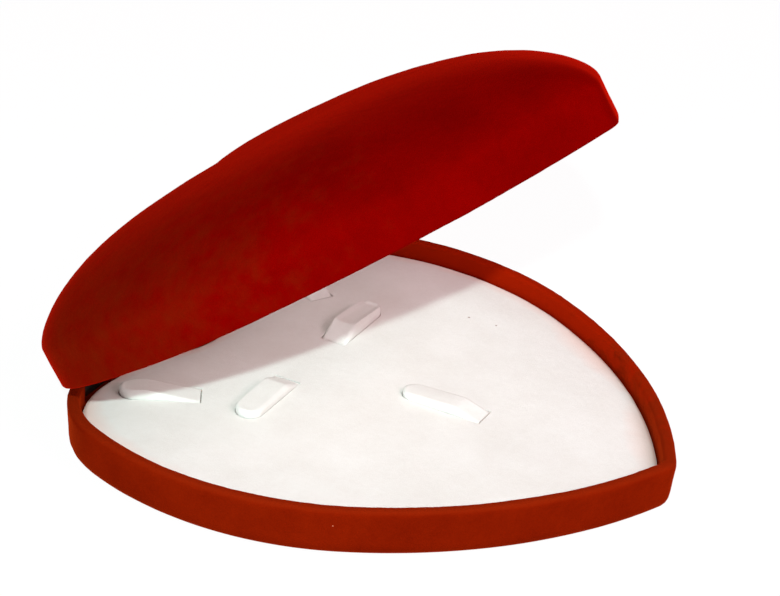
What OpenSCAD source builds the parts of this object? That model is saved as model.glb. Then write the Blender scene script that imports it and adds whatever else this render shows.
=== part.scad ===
// Heart-shaped jewellery set case: a flocked tray with a velvet pad and five lifting tongues,
// and a puffed, satin-lined lid on two small steel butt hinges at the lobes.
// Millimetres, +Z up, the heart's point towards -Y, the hinges at +Y, the origin on the resting face.

/* [Heart outline] */
// Half of the angle that the two flanks make at the point
tip_half_angle = 68; // [66:0.5:70]
// Radius of the long flank
flank_r = 160; // [150:1:170]
// Angle swept by the long flank
flank_angle = 39.6; // [37:0.2:42]
// Radius of the side, between flank and lobe
side_r = 100; // [92:1:108]
// Angle swept by the side
side_angle = 51; // [48:0.5:54]
// Radius of the lobe's outer shoulder
lobe_r = 35; // [31:0.5:40]
// Radius of the lobe's inner shoulder, towards the cleft
shoulder_r = 80; // [74:1:88]
// Fillet radius at the bottom of the cleft
cleft_r = 30; // [24:1:36]
// Rounding of the point
tip_r = 3; // [1.5:0.5:5]
// Largest error of a faceted arc
facet_error = 0.12; // [0.08:0.01:0.2]

/* [Base tray] */
// Height of the tray, from the table to its rim
base_h = 16.7; // [15:0.1:19]
// Thickness of the tray's and the lid's wall at the rim
wall = 4.2; // [3.8:0.1:5]
// Rounding of the rims' outer edge
rim_edge = 1; // [0.5:0.1:1.5]
// Rounding under the tray, all round
bottom_round = 2.5; // [1.5:0.1:3.5]
// Draft of the tray's wall over its height
draft = 0.7; // [0.3:0.1:1]
// Thickness of the moulded floor
floor_t = 1.8; // [1.4:0.1:2.2]
// Width of the ledge that carries the pad
ledge_w = 2.4; // [1.6:0.2:3]
// Height of the free space under the pad board
under_pad = 1.4; // [1:0.1:2]
// Radius of the round posts under the pad board
post_r = 3.2; // [2:0.2:4]
// Thickness of the sheet glued under the tray
sheet_t = 0.6; // [0.4:0.1:0.8]
// Margin between that sheet's edge and the flat of the tray
sheet_margin = 3; // [2:0.5:5]

/* [Pad] */
// Thickness of the pad's card backing
board_t = 1.5; // [1.2:0.1:2]
// Thickness of the pad's sponge at its edge
foam_t = 4.5; // [4:0.1:5]
// Thickness of the velvet cover with its backing
cover_t = 1.2; // [1:0.1:1.4]
// Rise of the pad's middle over its edge
pad_crown = 0.7; // [0.5:0.1:1.2]
// Share of the pad that is flat, from its middle
pad_flat = 0.72; // [0.66:0.01:0.8]
// Rounding of the pad's edge
pad_round = 2; // [1.8:0.1:2.6]
// Space between the pad and the tray's wall
pad_gap = 0.6; // [0.4:0.1:1]

/* [Tongues] */
// Width of a tongue
tongue_w = 9; // [8:0.5:10]
// Thickness of a tongue past its fold: velvet and card over a strip of sponge
tongue_t = 2.4; // [1.8:0.1:2.6]
// Cut width round a tongue
cut_gap = 0.35; // [0.3:0.05:0.5]
// Length of the two upper tongues
upper_len = 25; // [22:1:28]
// Height of the upper tongues' fold
upper_lift = 3; // [2.6:0.1:3.6]
// Distance from the upper left tongue's root to its fold
upper_left_run = 16; // [10:0.5:18]
// Distance from the upper right tongue's root to its fold
upper_right_run = 5; // [4:0.5:8]
// Sideways place of the upper tongues' roots
upper_x = 40; // [37:0.5:42]
// Distance of the upper tongues' roots from the backs of the lobes
upper_back = 34; // [33:0.2:38]
// Direction of the right upper tongue
upper_turn = 61; // [55:1:68]
// Length of the two middle tongues
middle_len = 28; // [25:1:31]
// Height of the middle left tongue's fold
middle_left_lift = 3; // [2.6:0.1:4.2]
// Height of the middle right tongue's fold
middle_right_lift = 4.2; // [2.6:0.1:4.6]
// Distance from a middle tongue's root to its fold
middle_run = 7; // [5:0.5:10]
// Sideways place of the middle tongues' roots
middle_x = 15.8; // [13:0.2:18]
// Place of the middle tongues from the middle of the case
middle_y = 37.6; // [35:0.2:40]
// Length of the front tongue
front_len = 28; // [25:1:31]
// Height of the front tongue's fold
front_lift = 2.4; // [2.2:0.1:3.2]
// Distance from the front tongue's root to its fold
front_run = 8; // [6:0.5:12]
// Distance of the front tongue's root from the heart's point
front_reach = 65.2; // [60:0.2:69]
// Drop from a tongue's fold to its round end
tip_drop = 0.8; // [0.4:0.1:1]

/* [Lid] */
// Angle at which the lid stands open
open_angle = 35.2; // [0:0.2:95]
// Height of the lid's upright wall
lid_wall_h = 13.2; // [12:0.2:14.4]
// Rise of the dome above the wall
dome_rise = 24; // [21:0.2:27]
// Thickness of the dome at its top
dome_t = 2.4; // [2:0.1:3]
// Place of the dome's top from the middle of the case, towards the lobes
dome_y = 20; // [16:0.5:24]
// Power of the dome's curve over its spread
dome_spread_power = 3.4; // [3:0.1:3.8]
// Power of the dome's curve over its height
dome_height_power = 1.5; // [1.4:0.05:1.7]
// Share by which the dome's top turns from a heart to an oval
oval_share = 0.4; // [0.2:0.05:0.6]
// Half of the oval's width
oval_rx = 85; // [80:1:90]
// Half of the oval's length
oval_ry = 80; // [75:1:85]
// Space between the closed rims
rim_gap = 0.4; // [0.3:0.05:0.6]

/* [Lid lining] */
// Thickness of the card ring inside the lid's wall
ring_t = 1; // [0.8:0.1:1.4]
// Height of the card ring
ring_h = 8; // [7:0.2:8.4]
// Depth of the ring's edge behind the lid's rim
ring_inset = 1.5; // [1:0.1:2]
// Thickness of the sponge in the lid
lid_foam_t = 4; // [3:0.2:5]
// Thickness of the satin with its wadding
satin_t = 0.8; // [0.6:0.1:1.2]
// Clearance between soft layers
soft_gap = 0.3; // [0.3:0.05:0.4]

/* [Hinges] */
// Width of a hinge
hinge_w = 15; // [13:0.5:17]
// Radius of the hinge pin
pin_r = 0.8; // [0.7:0.05:0.9]
// Radial clearance of the pin in its barrels
pin_clear = 0.04; // [0.02:0.01:0.08]
// Radius of a hinge barrel
barrel_r = 1.5; // [1.4:0.05:1.7]
// Distance of the pin's axis behind the lobes
hinge_out = 0.5; // [0.4:0.05:0.8]
// Thickness of a hinge leaf
leaf_t = 0.7; // [0.6:0.05:0.8]
// Length of a leaf's plate in its pocket
plate_h = 7; // [6:0.2:7.4]
// Wall left behind a hinge pocket
pocket_skin = 1.9; // [1.7:0.1:2.1]
// Width of a base barrel, one at each end of the hinge
end_barrel_w = 3.6; // [3:0.1:4]
// Running gap between barrels, and between the lid's and the tray's parts
part_gap = 0.3; // [0.25:0.05:0.4]
// Radius of a rivet's shank
rivet_r = 0.7; // [0.6:0.05:0.8]
// Radius of a rivet's head
rivet_head_r = 1.3; // [1.1:0.1:1.5]
// Thickness of a rivet's or a pin's head
head_t = 0.5; // [0.4:0.05:0.6]
// Distance between a leaf's two rivets
rivet_pitch = 8; // [7:0.5:9]
// Depth of a rivet in the wall
rivet_depth = 1; // [0.8:0.1:1.1]

/* [Hidden] */

$fn = 48;
flock_red = [0.55, 0.07, 0.03];
velvet_white = [0.95, 0.94, 0.92];
satin_white = [0.93, 0.92, 0.9];
sponge_cream = [0.9, 0.87, 0.78];
card_grey = [0.6, 0.58, 0.55];
steel = [0.62, 0.62, 0.64];
touch_gap = 0.03;  // between flat faces that bear on each other
least_tip_r = 0.5;  // of the point, where the outline is pulled inwards
post_root = 0.4;  // depth of the posts' feet in the floor
eps = 0.01;

// --- the heart outline: a chain of arcs from the point to the cleft ---
function dir(a) = [cos(a), sin(a)];
function segments(r, sweep) = max(3, ceil(sweep / (2 * acos(1 - facet_error / r))));
function arc(c, r, a0, a1, n) = [for (i = [0:n]) c + r * dir(a0 + (a1 - a0) * i / n)];
function tail(v) = [for (i = [1:len(v) - 1]) v[i]];

flank_a0 = -tip_half_angle;
flank_a1 = flank_a0 + flank_angle;
side_a1 = flank_a1 + side_angle;
flank_c = -flank_r * dir(flank_a0);
side_c = flank_c + (flank_r - side_r) * dir(flank_a1);
lobe_c = side_c + (side_r - lobe_r) * dir(side_a1);
shoulder_c = lobe_c + [0, lobe_r - shoulder_r];
cleft_c = [0, shoulder_c[1] + sqrt(pow(shoulder_r + cleft_r, 2) - pow(shoulder_c[0], 2))];
shoulder_a1 = atan2(cleft_c[1] - shoulder_c[1], -shoulder_c[0]);
tip_c = tip_centre(0);
heart_front = tip_c[1] - tip_r;
heart_back = lobe_c[1] + lobe_r;
heart_l = heart_back - heart_front;
mid_y = (heart_front + heart_back) / 2;
lobe_x = lobe_c[0];
lobe_y = heart_l / 2;
upper_y = lobe_y - upper_back;
front_y = lobe_y - front_reach;

function tip_radius(o) = max(tip_r - o, least_tip_r);
function tip_centre(o) =
    [0, flank_c[1] - sqrt(pow(flank_r - o - tip_radius(o), 2) - pow(flank_c[0], 2))];
function tip_a1(o) = atan2(tip_centre(o)[1] - flank_c[1], -flank_c[0]);

// right half of the heart, pulled inwards by o, from the point to the cleft
function half_heart(o) = concat(
    arc(tip_centre(o), tip_radius(o), -90, tip_a1(o), 3),
    tail(arc(flank_c, flank_r - o, tip_a1(o), flank_a1, segments(flank_r, flank_angle))),
    tail(arc(side_c, side_r - o, flank_a1, side_a1, segments(side_r, side_angle))),
    tail(arc(lobe_c, lobe_r - o, side_a1, 90, segments(lobe_r, 90 - side_a1))),
    tail(arc(shoulder_c, shoulder_r - o, 90, shoulder_a1, segments(shoulder_r, shoulder_a1 - 90))),
    tail(arc(cleft_c, cleft_r + o, shoulder_a1 - 180, -90, segments(cleft_r, shoulder_a1 - 90))));
function heart(o) =
    let (h = half_heart(o), n = len(h))
    concat([for (p = h) p - [0, mid_y]],
           [for (i = [n - 2:-1:1]) [-h[i][0], h[i][1] - mid_y]]);
outline_n = len(heart(0));

// --- closed surfaces lofted through rings of equal count ---
// The rings run along the section counter-clockwise: inside or underside first, outside last.
function ring(pts, z) = [for (p = pts) [p[0], p[1], z]];
function loft_faces(n, m) = concat(
    [[for (i = [0:n - 1]) i]],
    [for (j = [0:m - 2], i = [0:n - 1], k = [0, 1])
        let (a = j * n + i, b = j * n + (i + 1) % n)
        k == 0 ? [a, a + n, b] : [b, a + n, b + n]],
    [[for (i = [n - 1:-1:0]) (m - 1) * n + i]]);
module loft(rings) {
    polyhedron([for (r = rings) each r], loft_faces(len(rings[0]), len(rings)), 8);
}

// a ring at share s of the way from the dome's centre to the outline o
middle = [0, dome_y];
function heart_share(o, s) = [for (p = heart(o)) middle + s * (p - middle)];
function dome_share(o, s) =
    let (w = oval_share * (1 - s))
    [for (p = heart(o))
        let (v = p - middle, r = norm(v), u = v / r,
             oval = 1 / sqrt(pow(u[0] / oval_rx, 2) + pow(u[1] / oval_ry, 2)))
        middle + s * ((1 - w) * r + w * oval) * u];

// --- lid surfaces, above the closed lid's rim plane ---
dome_steps = 9;
top_share = 0.12;
function dome_rings(o, drop, steps) = [for (k = [0:steps])
    let (t = sin(90 * k / steps), s = pow(1 - pow(t, dome_height_power), 1 / dome_spread_power))
    ring(dome_share(o, max(s, top_share)), lid_wall_h + (dome_rise - drop) * t)];
function reversed(v) = [for (i = [len(v) - 1:-1:0]) v[i]];

// --- heights ---
ledge_z = floor_t + under_pad;
board_z = ledge_z + touch_gap;
foam_z = board_z + board_t + touch_gap;
pad_o = wall + pad_gap;
pad_edge_z = foam_z + foam_t + soft_gap + cover_t;
pad_top = pad_edge_z + pad_crown;
lid_z = base_h + rim_gap;
axis_y = lobe_y + hinge_out;
axis_z = base_h + rim_gap / 2;

// height of the pad's surface over its edge, at share s
function crown_at(s) = pad_crown * (s < pad_flat ? 1 : 1 - pow((s - pad_flat) / (1 - pad_flat), 2));
crown_shares = [0.95, 0.88, 0.8, pad_flat];
round_steps = [0, 30, 60, 90];

// surface of the pad at a depth below its skin: rolled over at the edge, then rising to the flat
function pad_rings(depth) =
    let (r = pad_round, o = pad_o + depth, roll = r - depth)
    concat([for (a = round_steps)
               ring(heart(o + roll * (1 - cos(a))), pad_edge_z - r + roll * sin(a))],
           [for (s = crown_shares) ring(heart_share(o + roll, s), pad_edge_z - depth + crown_at(s))]);

// --- base ---
module base_shell() {
    color(flock_red)
    difference() {
        union() {
            base_wall_and_floor();
            for (p = post_places())
                translate([p[0], p[1], floor_t - post_root])
                cylinder(h = ledge_z - floor_t + post_root, r = post_r);
        }
        for (side = [-1, 1])
            hinge_cut(side, -1);
    }
}

module base_wall_and_floor() {
    bottom_o = draft + bottom_round;
    sheet_o = bottom_o + sheet_margin;
    loft(concat(
        [ring(heart(sheet_o), sheet_t + touch_gap), ring(heart(sheet_o), 0)],
        [for (a = [0, 30, 60, 90])
            ring(heart(draft + bottom_round * (1 - sin(a))), bottom_round * (1 - cos(a)))],
        [for (a = [0, 45, 90])
            ring(heart(rim_edge * (1 - cos(a))), base_h - rim_edge * (1 - sin(a)))],
        [ring(heart(wall - rim_edge / 2), base_h),
         ring(heart(wall), base_h - rim_edge / 2),
         ring(heart(wall), ledge_z),
         ring(heart(wall + ledge_w), ledge_z),
         ring(heart(wall + ledge_w), floor_t)]));
}

// posts under the board: one below each tongue's root and two towards the point
function post_places() = [
    [-upper_x, upper_y], [upper_x, upper_y], [-middle_x, middle_y], [middle_x, middle_y],
    [0, -front_y], [-lobe_x, 0], [lobe_x, 0]];

module base_bottom_sheet() {
    color(card_grey)
    linear_extrude(height = sheet_t)
    polygon(heart(draft + bottom_round + sheet_margin + soft_gap));
}

// --- pad ---
module pad_board() {
    color(card_grey)
    translate([0, 0, board_z])
    linear_extrude(height = board_t)
    polygon(heart(pad_o + cover_t + soft_gap));
}

module pad_foam() {
    color(sponge_cream)
    loft(concat([ring(heart(pad_o + cover_t + soft_gap), foam_z)], pad_rings(cover_t + soft_gap)));
}

module pad_cover() {
    color(velvet_white)
    difference() {
        loft(concat(
            reversed(pad_rings(cover_t)),
            [ring(heart(pad_o + cover_t), foam_z), ring(heart(pad_o), foam_z)],
            pad_rings(0)));
        each_tongue() tongue_slot($tongue_len);
    }
}

// --- tongues: each lies in its slot, bent up at the root and flattened at the fold ---
module at_tongue(place) {
    $tongue_len = place[3];
    $tongue_run = place[4];
    $tongue_lift = place[5];
    translate([place[0], place[1], pad_top - cover_t / 2])
    rotate([0, 0, place[2]])
    children();
}

// place and direction of the root, length, run to the fold and height of the fold
upper_left = [-upper_x, upper_y, 180 - upper_turn, upper_len, upper_left_run, upper_lift];
upper_right = [upper_x, upper_y, upper_turn, upper_len, upper_right_run, upper_lift];
middle_left = [-middle_x, middle_y, 180, middle_len, middle_run, middle_left_lift];
middle_right = [middle_x, middle_y, 0, middle_len, middle_run, middle_right_lift];
front = [0, -front_y, 90, front_len, front_run, front_lift];

module each_tongue() {
    for (place = [upper_left, upper_right, middle_left, middle_right, front])
        at_tongue(place) children();
}

module tongue_plan(length, width) {
    translate([-cover_t, -width / 2])
    square([cover_t + length - width / 2, width]);
    translate([length - width / 2, 0])
    circle(d = width);
}

// the die's outline round a tongue: straight at the root, round at the end
module tongue_slot(length) {
    slot_r = tongue_w / 2 + cut_gap;
    slot_root = cover_t / 2 + cut_gap;
    translate([0, 0, -cover_t])
    linear_extrude(height = 2 * cover_t + pad_crown)
    polygon(concat([[-slot_root, slot_r], [-slot_root, -slot_r]],
                   arc([length + 2 * cut_gap - slot_r, 0], slot_r, -90, 90, 12)));
}

module tongue(length, run, lift) {
    half_t = cover_t / 2;
    face = [[0, half_t], [run, lift + half_t], [length, lift - tip_drop + half_t]];
    back = [[length, lift - tip_drop + half_t - tongue_t], [run, lift + half_t - tongue_t],
            [0, -half_t]];
    color(velvet_white)
    intersection() {
        union() {
            rotate([90, 0, 0])
            linear_extrude(height = tongue_w, center = true)
            polygon(concat(face, back));
            rotate([90, 0, 0])
            cylinder(h = tongue_w, r = half_t, center = true);
        }
        translate([0, 0, -cover_t])
        linear_extrude(height = lift + 2 * cover_t)
        tongue_plan(length, tongue_w);
    }
}

module tongue_upper_left() { at_tongue(upper_left) tongue($tongue_len, $tongue_run, $tongue_lift); }
module tongue_upper_right() { at_tongue(upper_right) tongue($tongue_len, $tongue_run, $tongue_lift); }
module tongue_middle_left() { at_tongue(middle_left) tongue($tongue_len, $tongue_run, $tongue_lift); }
module tongue_middle_right() { at_tongue(middle_right) tongue($tongue_len, $tongue_run, $tongue_lift); }
module tongue_front() { at_tongue(front) tongue($tongue_len, $tongue_run, $tongue_lift); }

// --- lid, modelled closed and then turned open about the pins ---
module opened() {
    translate([0, axis_y, axis_z])
    rotate([-open_angle, 0, 0])
    translate([0, -axis_y, -axis_z])
    children();
}

module lid_shell() {
    color(flock_red)
    opened()
    difference() {
        translate([0, 0, lid_z])
        loft(concat(
            reversed(dome_rings(wall, dome_t, dome_steps)),
            [ring(heart(wall), rim_edge / 2), ring(heart(wall - rim_edge / 2), 0)],
            [for (a = [90, 45, 0])
                ring(heart(rim_edge * (1 - cos(a))), rim_edge * (1 - sin(a)))],
            dome_rings(0, 0, dome_steps)));
        for (side = [-1, 1])
            hinge_cut(side, 1);
    }
}

lining_steps = 7;

module lid_liner_ring() {
    color(card_grey)
    opened()
    translate([0, 0, lid_z + ring_inset])
    linear_extrude(height = ring_h)
    difference() {
        polygon(heart(wall + soft_gap));
        polygon(heart(wall + soft_gap + ring_t));
    }
}

module lid_foam() {
    outer_o = wall + soft_gap;
    inner_o = outer_o + lid_foam_t;
    foam_edge = ring_inset + ring_h + soft_gap;
    color(sponge_cream)
    opened()
    translate([0, 0, lid_z])
    loft(concat(
        reversed(dome_rings(inner_o, dome_t + soft_gap + lid_foam_t, lining_steps)),
        [ring(heart(inner_o), foam_edge), ring(heart(outer_o), foam_edge)],
        dome_rings(outer_o, dome_t + soft_gap, lining_steps)));
}

module lid_satin() {
    skirt_o = wall + ring_t + 2 * soft_gap;
    outer_o = wall + lid_foam_t + 2 * soft_gap;
    outer_drop = dome_t + lid_foam_t + 2 * soft_gap;
    hem = 2 * ring_inset;
    turn = ring_inset + ring_h - satin_t - soft_gap;
    color(satin_white)
    opened()
    translate([0, 0, lid_z])
    loft(concat(
        reversed(dome_rings(outer_o + satin_t, outer_drop + satin_t, lining_steps)),
        [ring(heart(outer_o + satin_t), turn - satin_t + soft_gap),
         ring(heart(skirt_o + satin_t), turn - satin_t),
         ring(heart(skirt_o + satin_t), hem), ring(heart(skirt_o), hem),
         ring(heart(skirt_o), turn), ring(heart(outer_o), turn + soft_gap)],
        dome_rings(outer_o, outer_drop, lining_steps)));
}

// --- hinges: level -1 is the tray's half and 1 the lid's, mirrored about the pins ---
hinge_span = hinge_w + 2 * (head_t + part_gap);
skin_y = lobe_y - pocket_skin;
flange_front = axis_y - barrel_r - part_gap;
leaf_low = barrel_r - leaf_t;

module at_hinge(side, level) {
    translate([side * lobe_x, axis_y, axis_z])
    scale([1, 1, level])
    children();
}

// notch in a rim for the barrels and the flange, and the pocket for the plate
module hinge_cut(side, level) {
    back = lobe_y - axis_y + 2 * barrel_r;
    front_y_cut = skin_y - axis_y;
    pocket_front = -wall - ledge_w - hinge_out;
    at_hinge(side, level) {
        rotate([0, 90, 0])
        cylinder(h = hinge_span, r = barrel_r + part_gap, center = true);
        translate([-hinge_span / 2, front_y_cut - eps, -eps])
        cube([hinge_span, back - front_y_cut, barrel_r + touch_gap + eps]);
        translate([-hinge_span / 2, pocket_front, -eps])
        cube([hinge_span, front_y_cut - pocket_front, barrel_r + plate_h + part_gap]);
        for (x = [-1, 1])
            translate([x * rivet_pitch / 2, front_y_cut - eps, barrel_r + plate_h / 2])
            rotate([-90, 0, 0])
            cylinder(h = rivet_depth + touch_gap, r = rivet_r + touch_gap);
    }
}

// spans of the barrels across the hinge: the tray's at the ends, the lid's between them
lid_barrel_w = hinge_w - 2 * end_barrel_w - 2 * part_gap;
base_spans = [[-hinge_w / 2, end_barrel_w], [hinge_w / 2 - end_barrel_w, end_barrel_w]];
lid_spans = [[-lid_barrel_w / 2, lid_barrel_w]];

module hinge_leaf(side, level, spans) {
    plate_back = skin_y - axis_y - touch_gap;
    color(steel)
    at_hinge(side, level)
    difference() {
        union() {
            for (s = spans) {
                translate([s[0], 0, 0])
                rotate([0, 90, 0])
                cylinder(h = s[1], r = barrel_r);
                translate([s[0], flange_front - axis_y - eps, leaf_low])
                cube([s[1], barrel_r + part_gap + eps, leaf_t]);
            }
            translate([-hinge_w / 2, plate_back - leaf_t, leaf_low])
            cube([hinge_w, flange_front - axis_y - plate_back + leaf_t, leaf_t]);
            translate([-hinge_w / 2, plate_back - leaf_t, leaf_low])
            cube([hinge_w, leaf_t, leaf_t + plate_h]);
        }
        rotate([0, 90, 0])
        cylinder(h = 2 * hinge_w, r = pin_r + pin_clear, center = true);
        for (x = [-1, 1])
            translate([x * rivet_pitch / 2, plate_back - leaf_t - eps, barrel_r + plate_h / 2])
            rotate([-90, 0, 0])
            cylinder(h = leaf_t + 2 * eps, r = rivet_r + touch_gap);
    }
}

module hinge_pin(side) {
    color(steel)
    at_hinge(side, 1)
    rotate([0, 90, 0]) {
        cylinder(h = hinge_w + 2 * (touch_gap + head_t), r = pin_r, center = true);
        for (end = [-1, 1])
            translate([0, 0, end * (hinge_w / 2 + touch_gap + head_t / 2)])
            cylinder(h = head_t, r = barrel_r - touch_gap, center = true);
    }
}

module rivets(level) {
    head_back = skin_y - axis_y - 2 * touch_gap - leaf_t;
    color(steel)
    for (side = [-1, 1], x = [-1, 1])
        at_hinge(side, level)
        translate([x * rivet_pitch / 2, head_back - head_t, barrel_r + plate_h / 2])
        rotate([-90, 0, 0]) {
            cylinder(h = head_t, r = rivet_head_r);
            cylinder(h = head_t + leaf_t + 2 * touch_gap + rivet_depth, r = rivet_r);
        }
}

module hinge_base_leaf_left() { hinge_leaf(-1, -1, base_spans); }
module hinge_base_leaf_right() { hinge_leaf(1, -1, base_spans); }
module hinge_lid_leaf_left() { opened() hinge_leaf(-1, 1, lid_spans); }
module hinge_lid_leaf_right() { opened() hinge_leaf(1, 1, lid_spans); }
module hinge_pin_left() { hinge_pin(-1); }
module hinge_pin_right() { hinge_pin(1); }
module hinge_base_rivets() { rivets(-1); }
module hinge_lid_rivets() { opened() rivets(1); }

base_shell();
base_bottom_sheet();
pad_board();
pad_foam();
pad_cover();
tongue_upper_left();
tongue_upper_right();
tongue_middle_left();
tongue_middle_right();
tongue_front();
hinge_base_leaf_left();
hinge_base_leaf_right();
hinge_pin_left();
hinge_pin_right();
hinge_base_rivets();
lid_shell();
lid_liner_ring();
lid_foam();
lid_satin();
hinge_lid_leaf_left();
hinge_lid_leaf_right();
hinge_lid_rivets();
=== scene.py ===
"""Heart-shaped jewellery set case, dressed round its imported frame.

A flocked tray holds a crowned velvet pad with five lifting tongues, and a puffed lid with a
satin lining stands open on two small steel butt hinges at the lobes. Sizes repeat the part's
own named values, in metres, in the part's frame: the point towards -Y, the hinges at +Y.
"""

import logging
import math
import random
from dataclasses import dataclass, replace
from enum import Enum
from functools import lru_cache
from typing import Callable

import bmesh
import bpy
from bmesh.types import BMEdge, BMesh, BMVert
from bpy.types import NodeSocket
from mathutils import Matrix, Vector, noise

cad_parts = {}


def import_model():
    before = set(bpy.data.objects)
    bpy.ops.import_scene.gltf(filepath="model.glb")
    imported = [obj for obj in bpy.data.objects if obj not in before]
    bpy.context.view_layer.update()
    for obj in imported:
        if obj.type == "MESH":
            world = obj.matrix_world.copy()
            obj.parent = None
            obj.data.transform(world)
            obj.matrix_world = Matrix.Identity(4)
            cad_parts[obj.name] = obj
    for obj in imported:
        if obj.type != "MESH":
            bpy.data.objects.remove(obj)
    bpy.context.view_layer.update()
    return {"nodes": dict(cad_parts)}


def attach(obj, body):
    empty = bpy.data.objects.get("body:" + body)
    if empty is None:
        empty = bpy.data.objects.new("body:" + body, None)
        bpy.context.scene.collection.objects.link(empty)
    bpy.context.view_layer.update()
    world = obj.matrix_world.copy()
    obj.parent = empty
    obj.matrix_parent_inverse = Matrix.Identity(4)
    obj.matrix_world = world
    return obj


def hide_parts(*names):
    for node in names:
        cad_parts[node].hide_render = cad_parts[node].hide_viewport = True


LOG = logging.getLogger("case")
MM = 0.001
TINY = 1e-7  # metres within which two points are one
WELD = 1e-6  # metres within which slivers of a cut are welded
SEAM = 1e-4  # share of an arc within which a point lies on the heart's middle line
UP = (0.0, 0.0, 1.0)

Colour = tuple[float, float, float, float]
Pair = tuple[float, float]
WHITE: Colour = (1.0, 1.0, 1.0, 1.0)


class Body(Enum):
    """The frame's bodies that pieces ride on."""

    TRAY = "tray"
    LID = "lid"
    UPPER_LEFT = "upper_left_tongue"
    UPPER_RIGHT = "upper_right_tongue"
    MIDDLE_LEFT = "middle_left_tongue"
    MIDDLE_RIGHT = "middle_right_tongue"
    FRONT = "front_tongue"


class Slot(Enum):
    """The record's material slots."""

    FLOCK = "red_flock"
    VELVET = "white_velvet"
    SATIN = "white_satin"
    SPONGE = "sponge"
    CARD = "card"
    STEEL = "hinge_steel"


# --------------------------------------------------------------------------- sizes


@dataclass(frozen=True)
class CaseSizes:
    """Lengths that several sub-assemblies share, in metres, and the lid's angle in degrees."""

    base_h: float = 16.7 * MM
    wall: float = 4.2 * MM
    rim_edge: float = 1.0 * MM
    bottom_round: float = 2.5 * MM
    draft: float = 0.7 * MM
    floor_t: float = 1.8 * MM
    ledge_w: float = 2.4 * MM
    under_pad: float = 1.4 * MM
    sheet_t: float = 0.6 * MM
    sheet_margin: float = 3.0 * MM
    board_t: float = 1.5 * MM
    foam_t: float = 4.5 * MM
    cover_t: float = 1.2 * MM
    pad_crown: float = 0.7 * MM
    pad_flat: float = 0.72
    pad_round: float = 2.0 * MM
    pad_gap: float = 0.6 * MM
    lid_wall_h: float = 13.2 * MM
    dome_rise: float = 24.0 * MM
    dome_t: float = 2.4 * MM
    rim_gap: float = 0.4 * MM
    ring_t: float = 1.0 * MM
    ring_h: float = 8.0 * MM
    ring_inset: float = 1.5 * MM
    lid_foam_t: float = 4.0 * MM
    satin_t: float = 0.8 * MM
    soft_gap: float = 0.3 * MM
    touch_gap: float = 0.03 * MM
    hinge_out: float = 0.5 * MM
    open_angle: float = 35.2

    @property
    def ledge_z(self) -> float:
        """Height of the ledge that carries the pad."""
        return self.floor_t + self.under_pad

    @property
    def board_z(self) -> float:
        """Height of the underside of the pad's board."""
        return self.ledge_z + self.touch_gap

    @property
    def foam_z(self) -> float:
        """Height of the underside of the pad's sponge."""
        return self.board_z + self.board_t + self.touch_gap

    @property
    def pad_inset(self) -> float:
        """Distance of the pad's edge inside the case's outline."""
        return self.wall + self.pad_gap

    @property
    def pad_edge_z(self) -> float:
        """Height of the pad's surface at its edge."""
        return self.foam_z + self.foam_t + self.soft_gap + self.cover_t

    @property
    def pad_top(self) -> float:
        """Height of the pad's flat top."""
        return self.pad_edge_z + self.pad_crown

    @property
    def lid_z(self) -> float:
        """Height of the closed lid's rim."""
        return self.base_h + self.rim_gap

    @property
    def axis_z(self) -> float:
        """Height of the hinge pins."""
        return self.base_h + self.rim_gap / 2


def clamp(value: float) -> float:
    """A value kept between 0 and 1."""
    return min(max(value, 0.0), 1.0)


def on_circle(angle: float, radius: float = 1.0) -> Vector:
    """Point on a circle about the origin, at a direction in degrees."""
    turn = math.radians(angle)
    return Vector((radius * math.cos(turn), radius * math.sin(turn)))


@dataclass(frozen=True)
class Arc:
    """One arc of the outline, between two directions in degrees."""

    cx: float
    cy: float
    radius: float
    start: float
    end: float

    @property
    def centre(self) -> Vector:
        """Centre of the arc."""
        return Vector((self.cx, self.cy))

    @property
    def sweep(self) -> float:
        """Degrees from the arc's start to its end."""
        return self.end - self.start

    @property
    def length(self) -> float:
        """Length of the arc."""
        return self.radius * math.radians(abs(self.sweep))

    def point(self, share: float) -> Vector:
        """Point at a share of the way along the arc."""
        return self.centre + on_circle(self.start + self.sweep * share, self.radius)

    def share(self, point: Vector) -> float:
        """Share of the way along the arc at which a point lies.

        Args:
            point: The point.

        Returns:
            The share, from 0 to 1.
        """
        spoke = point - self.centre
        turned = math.degrees(math.atan2(spoke.y, spoke.x)) - self.start
        turned -= 360 * round((turned - self.sweep / 2) / 360)
        return clamp(turned / self.sweep)


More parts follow.
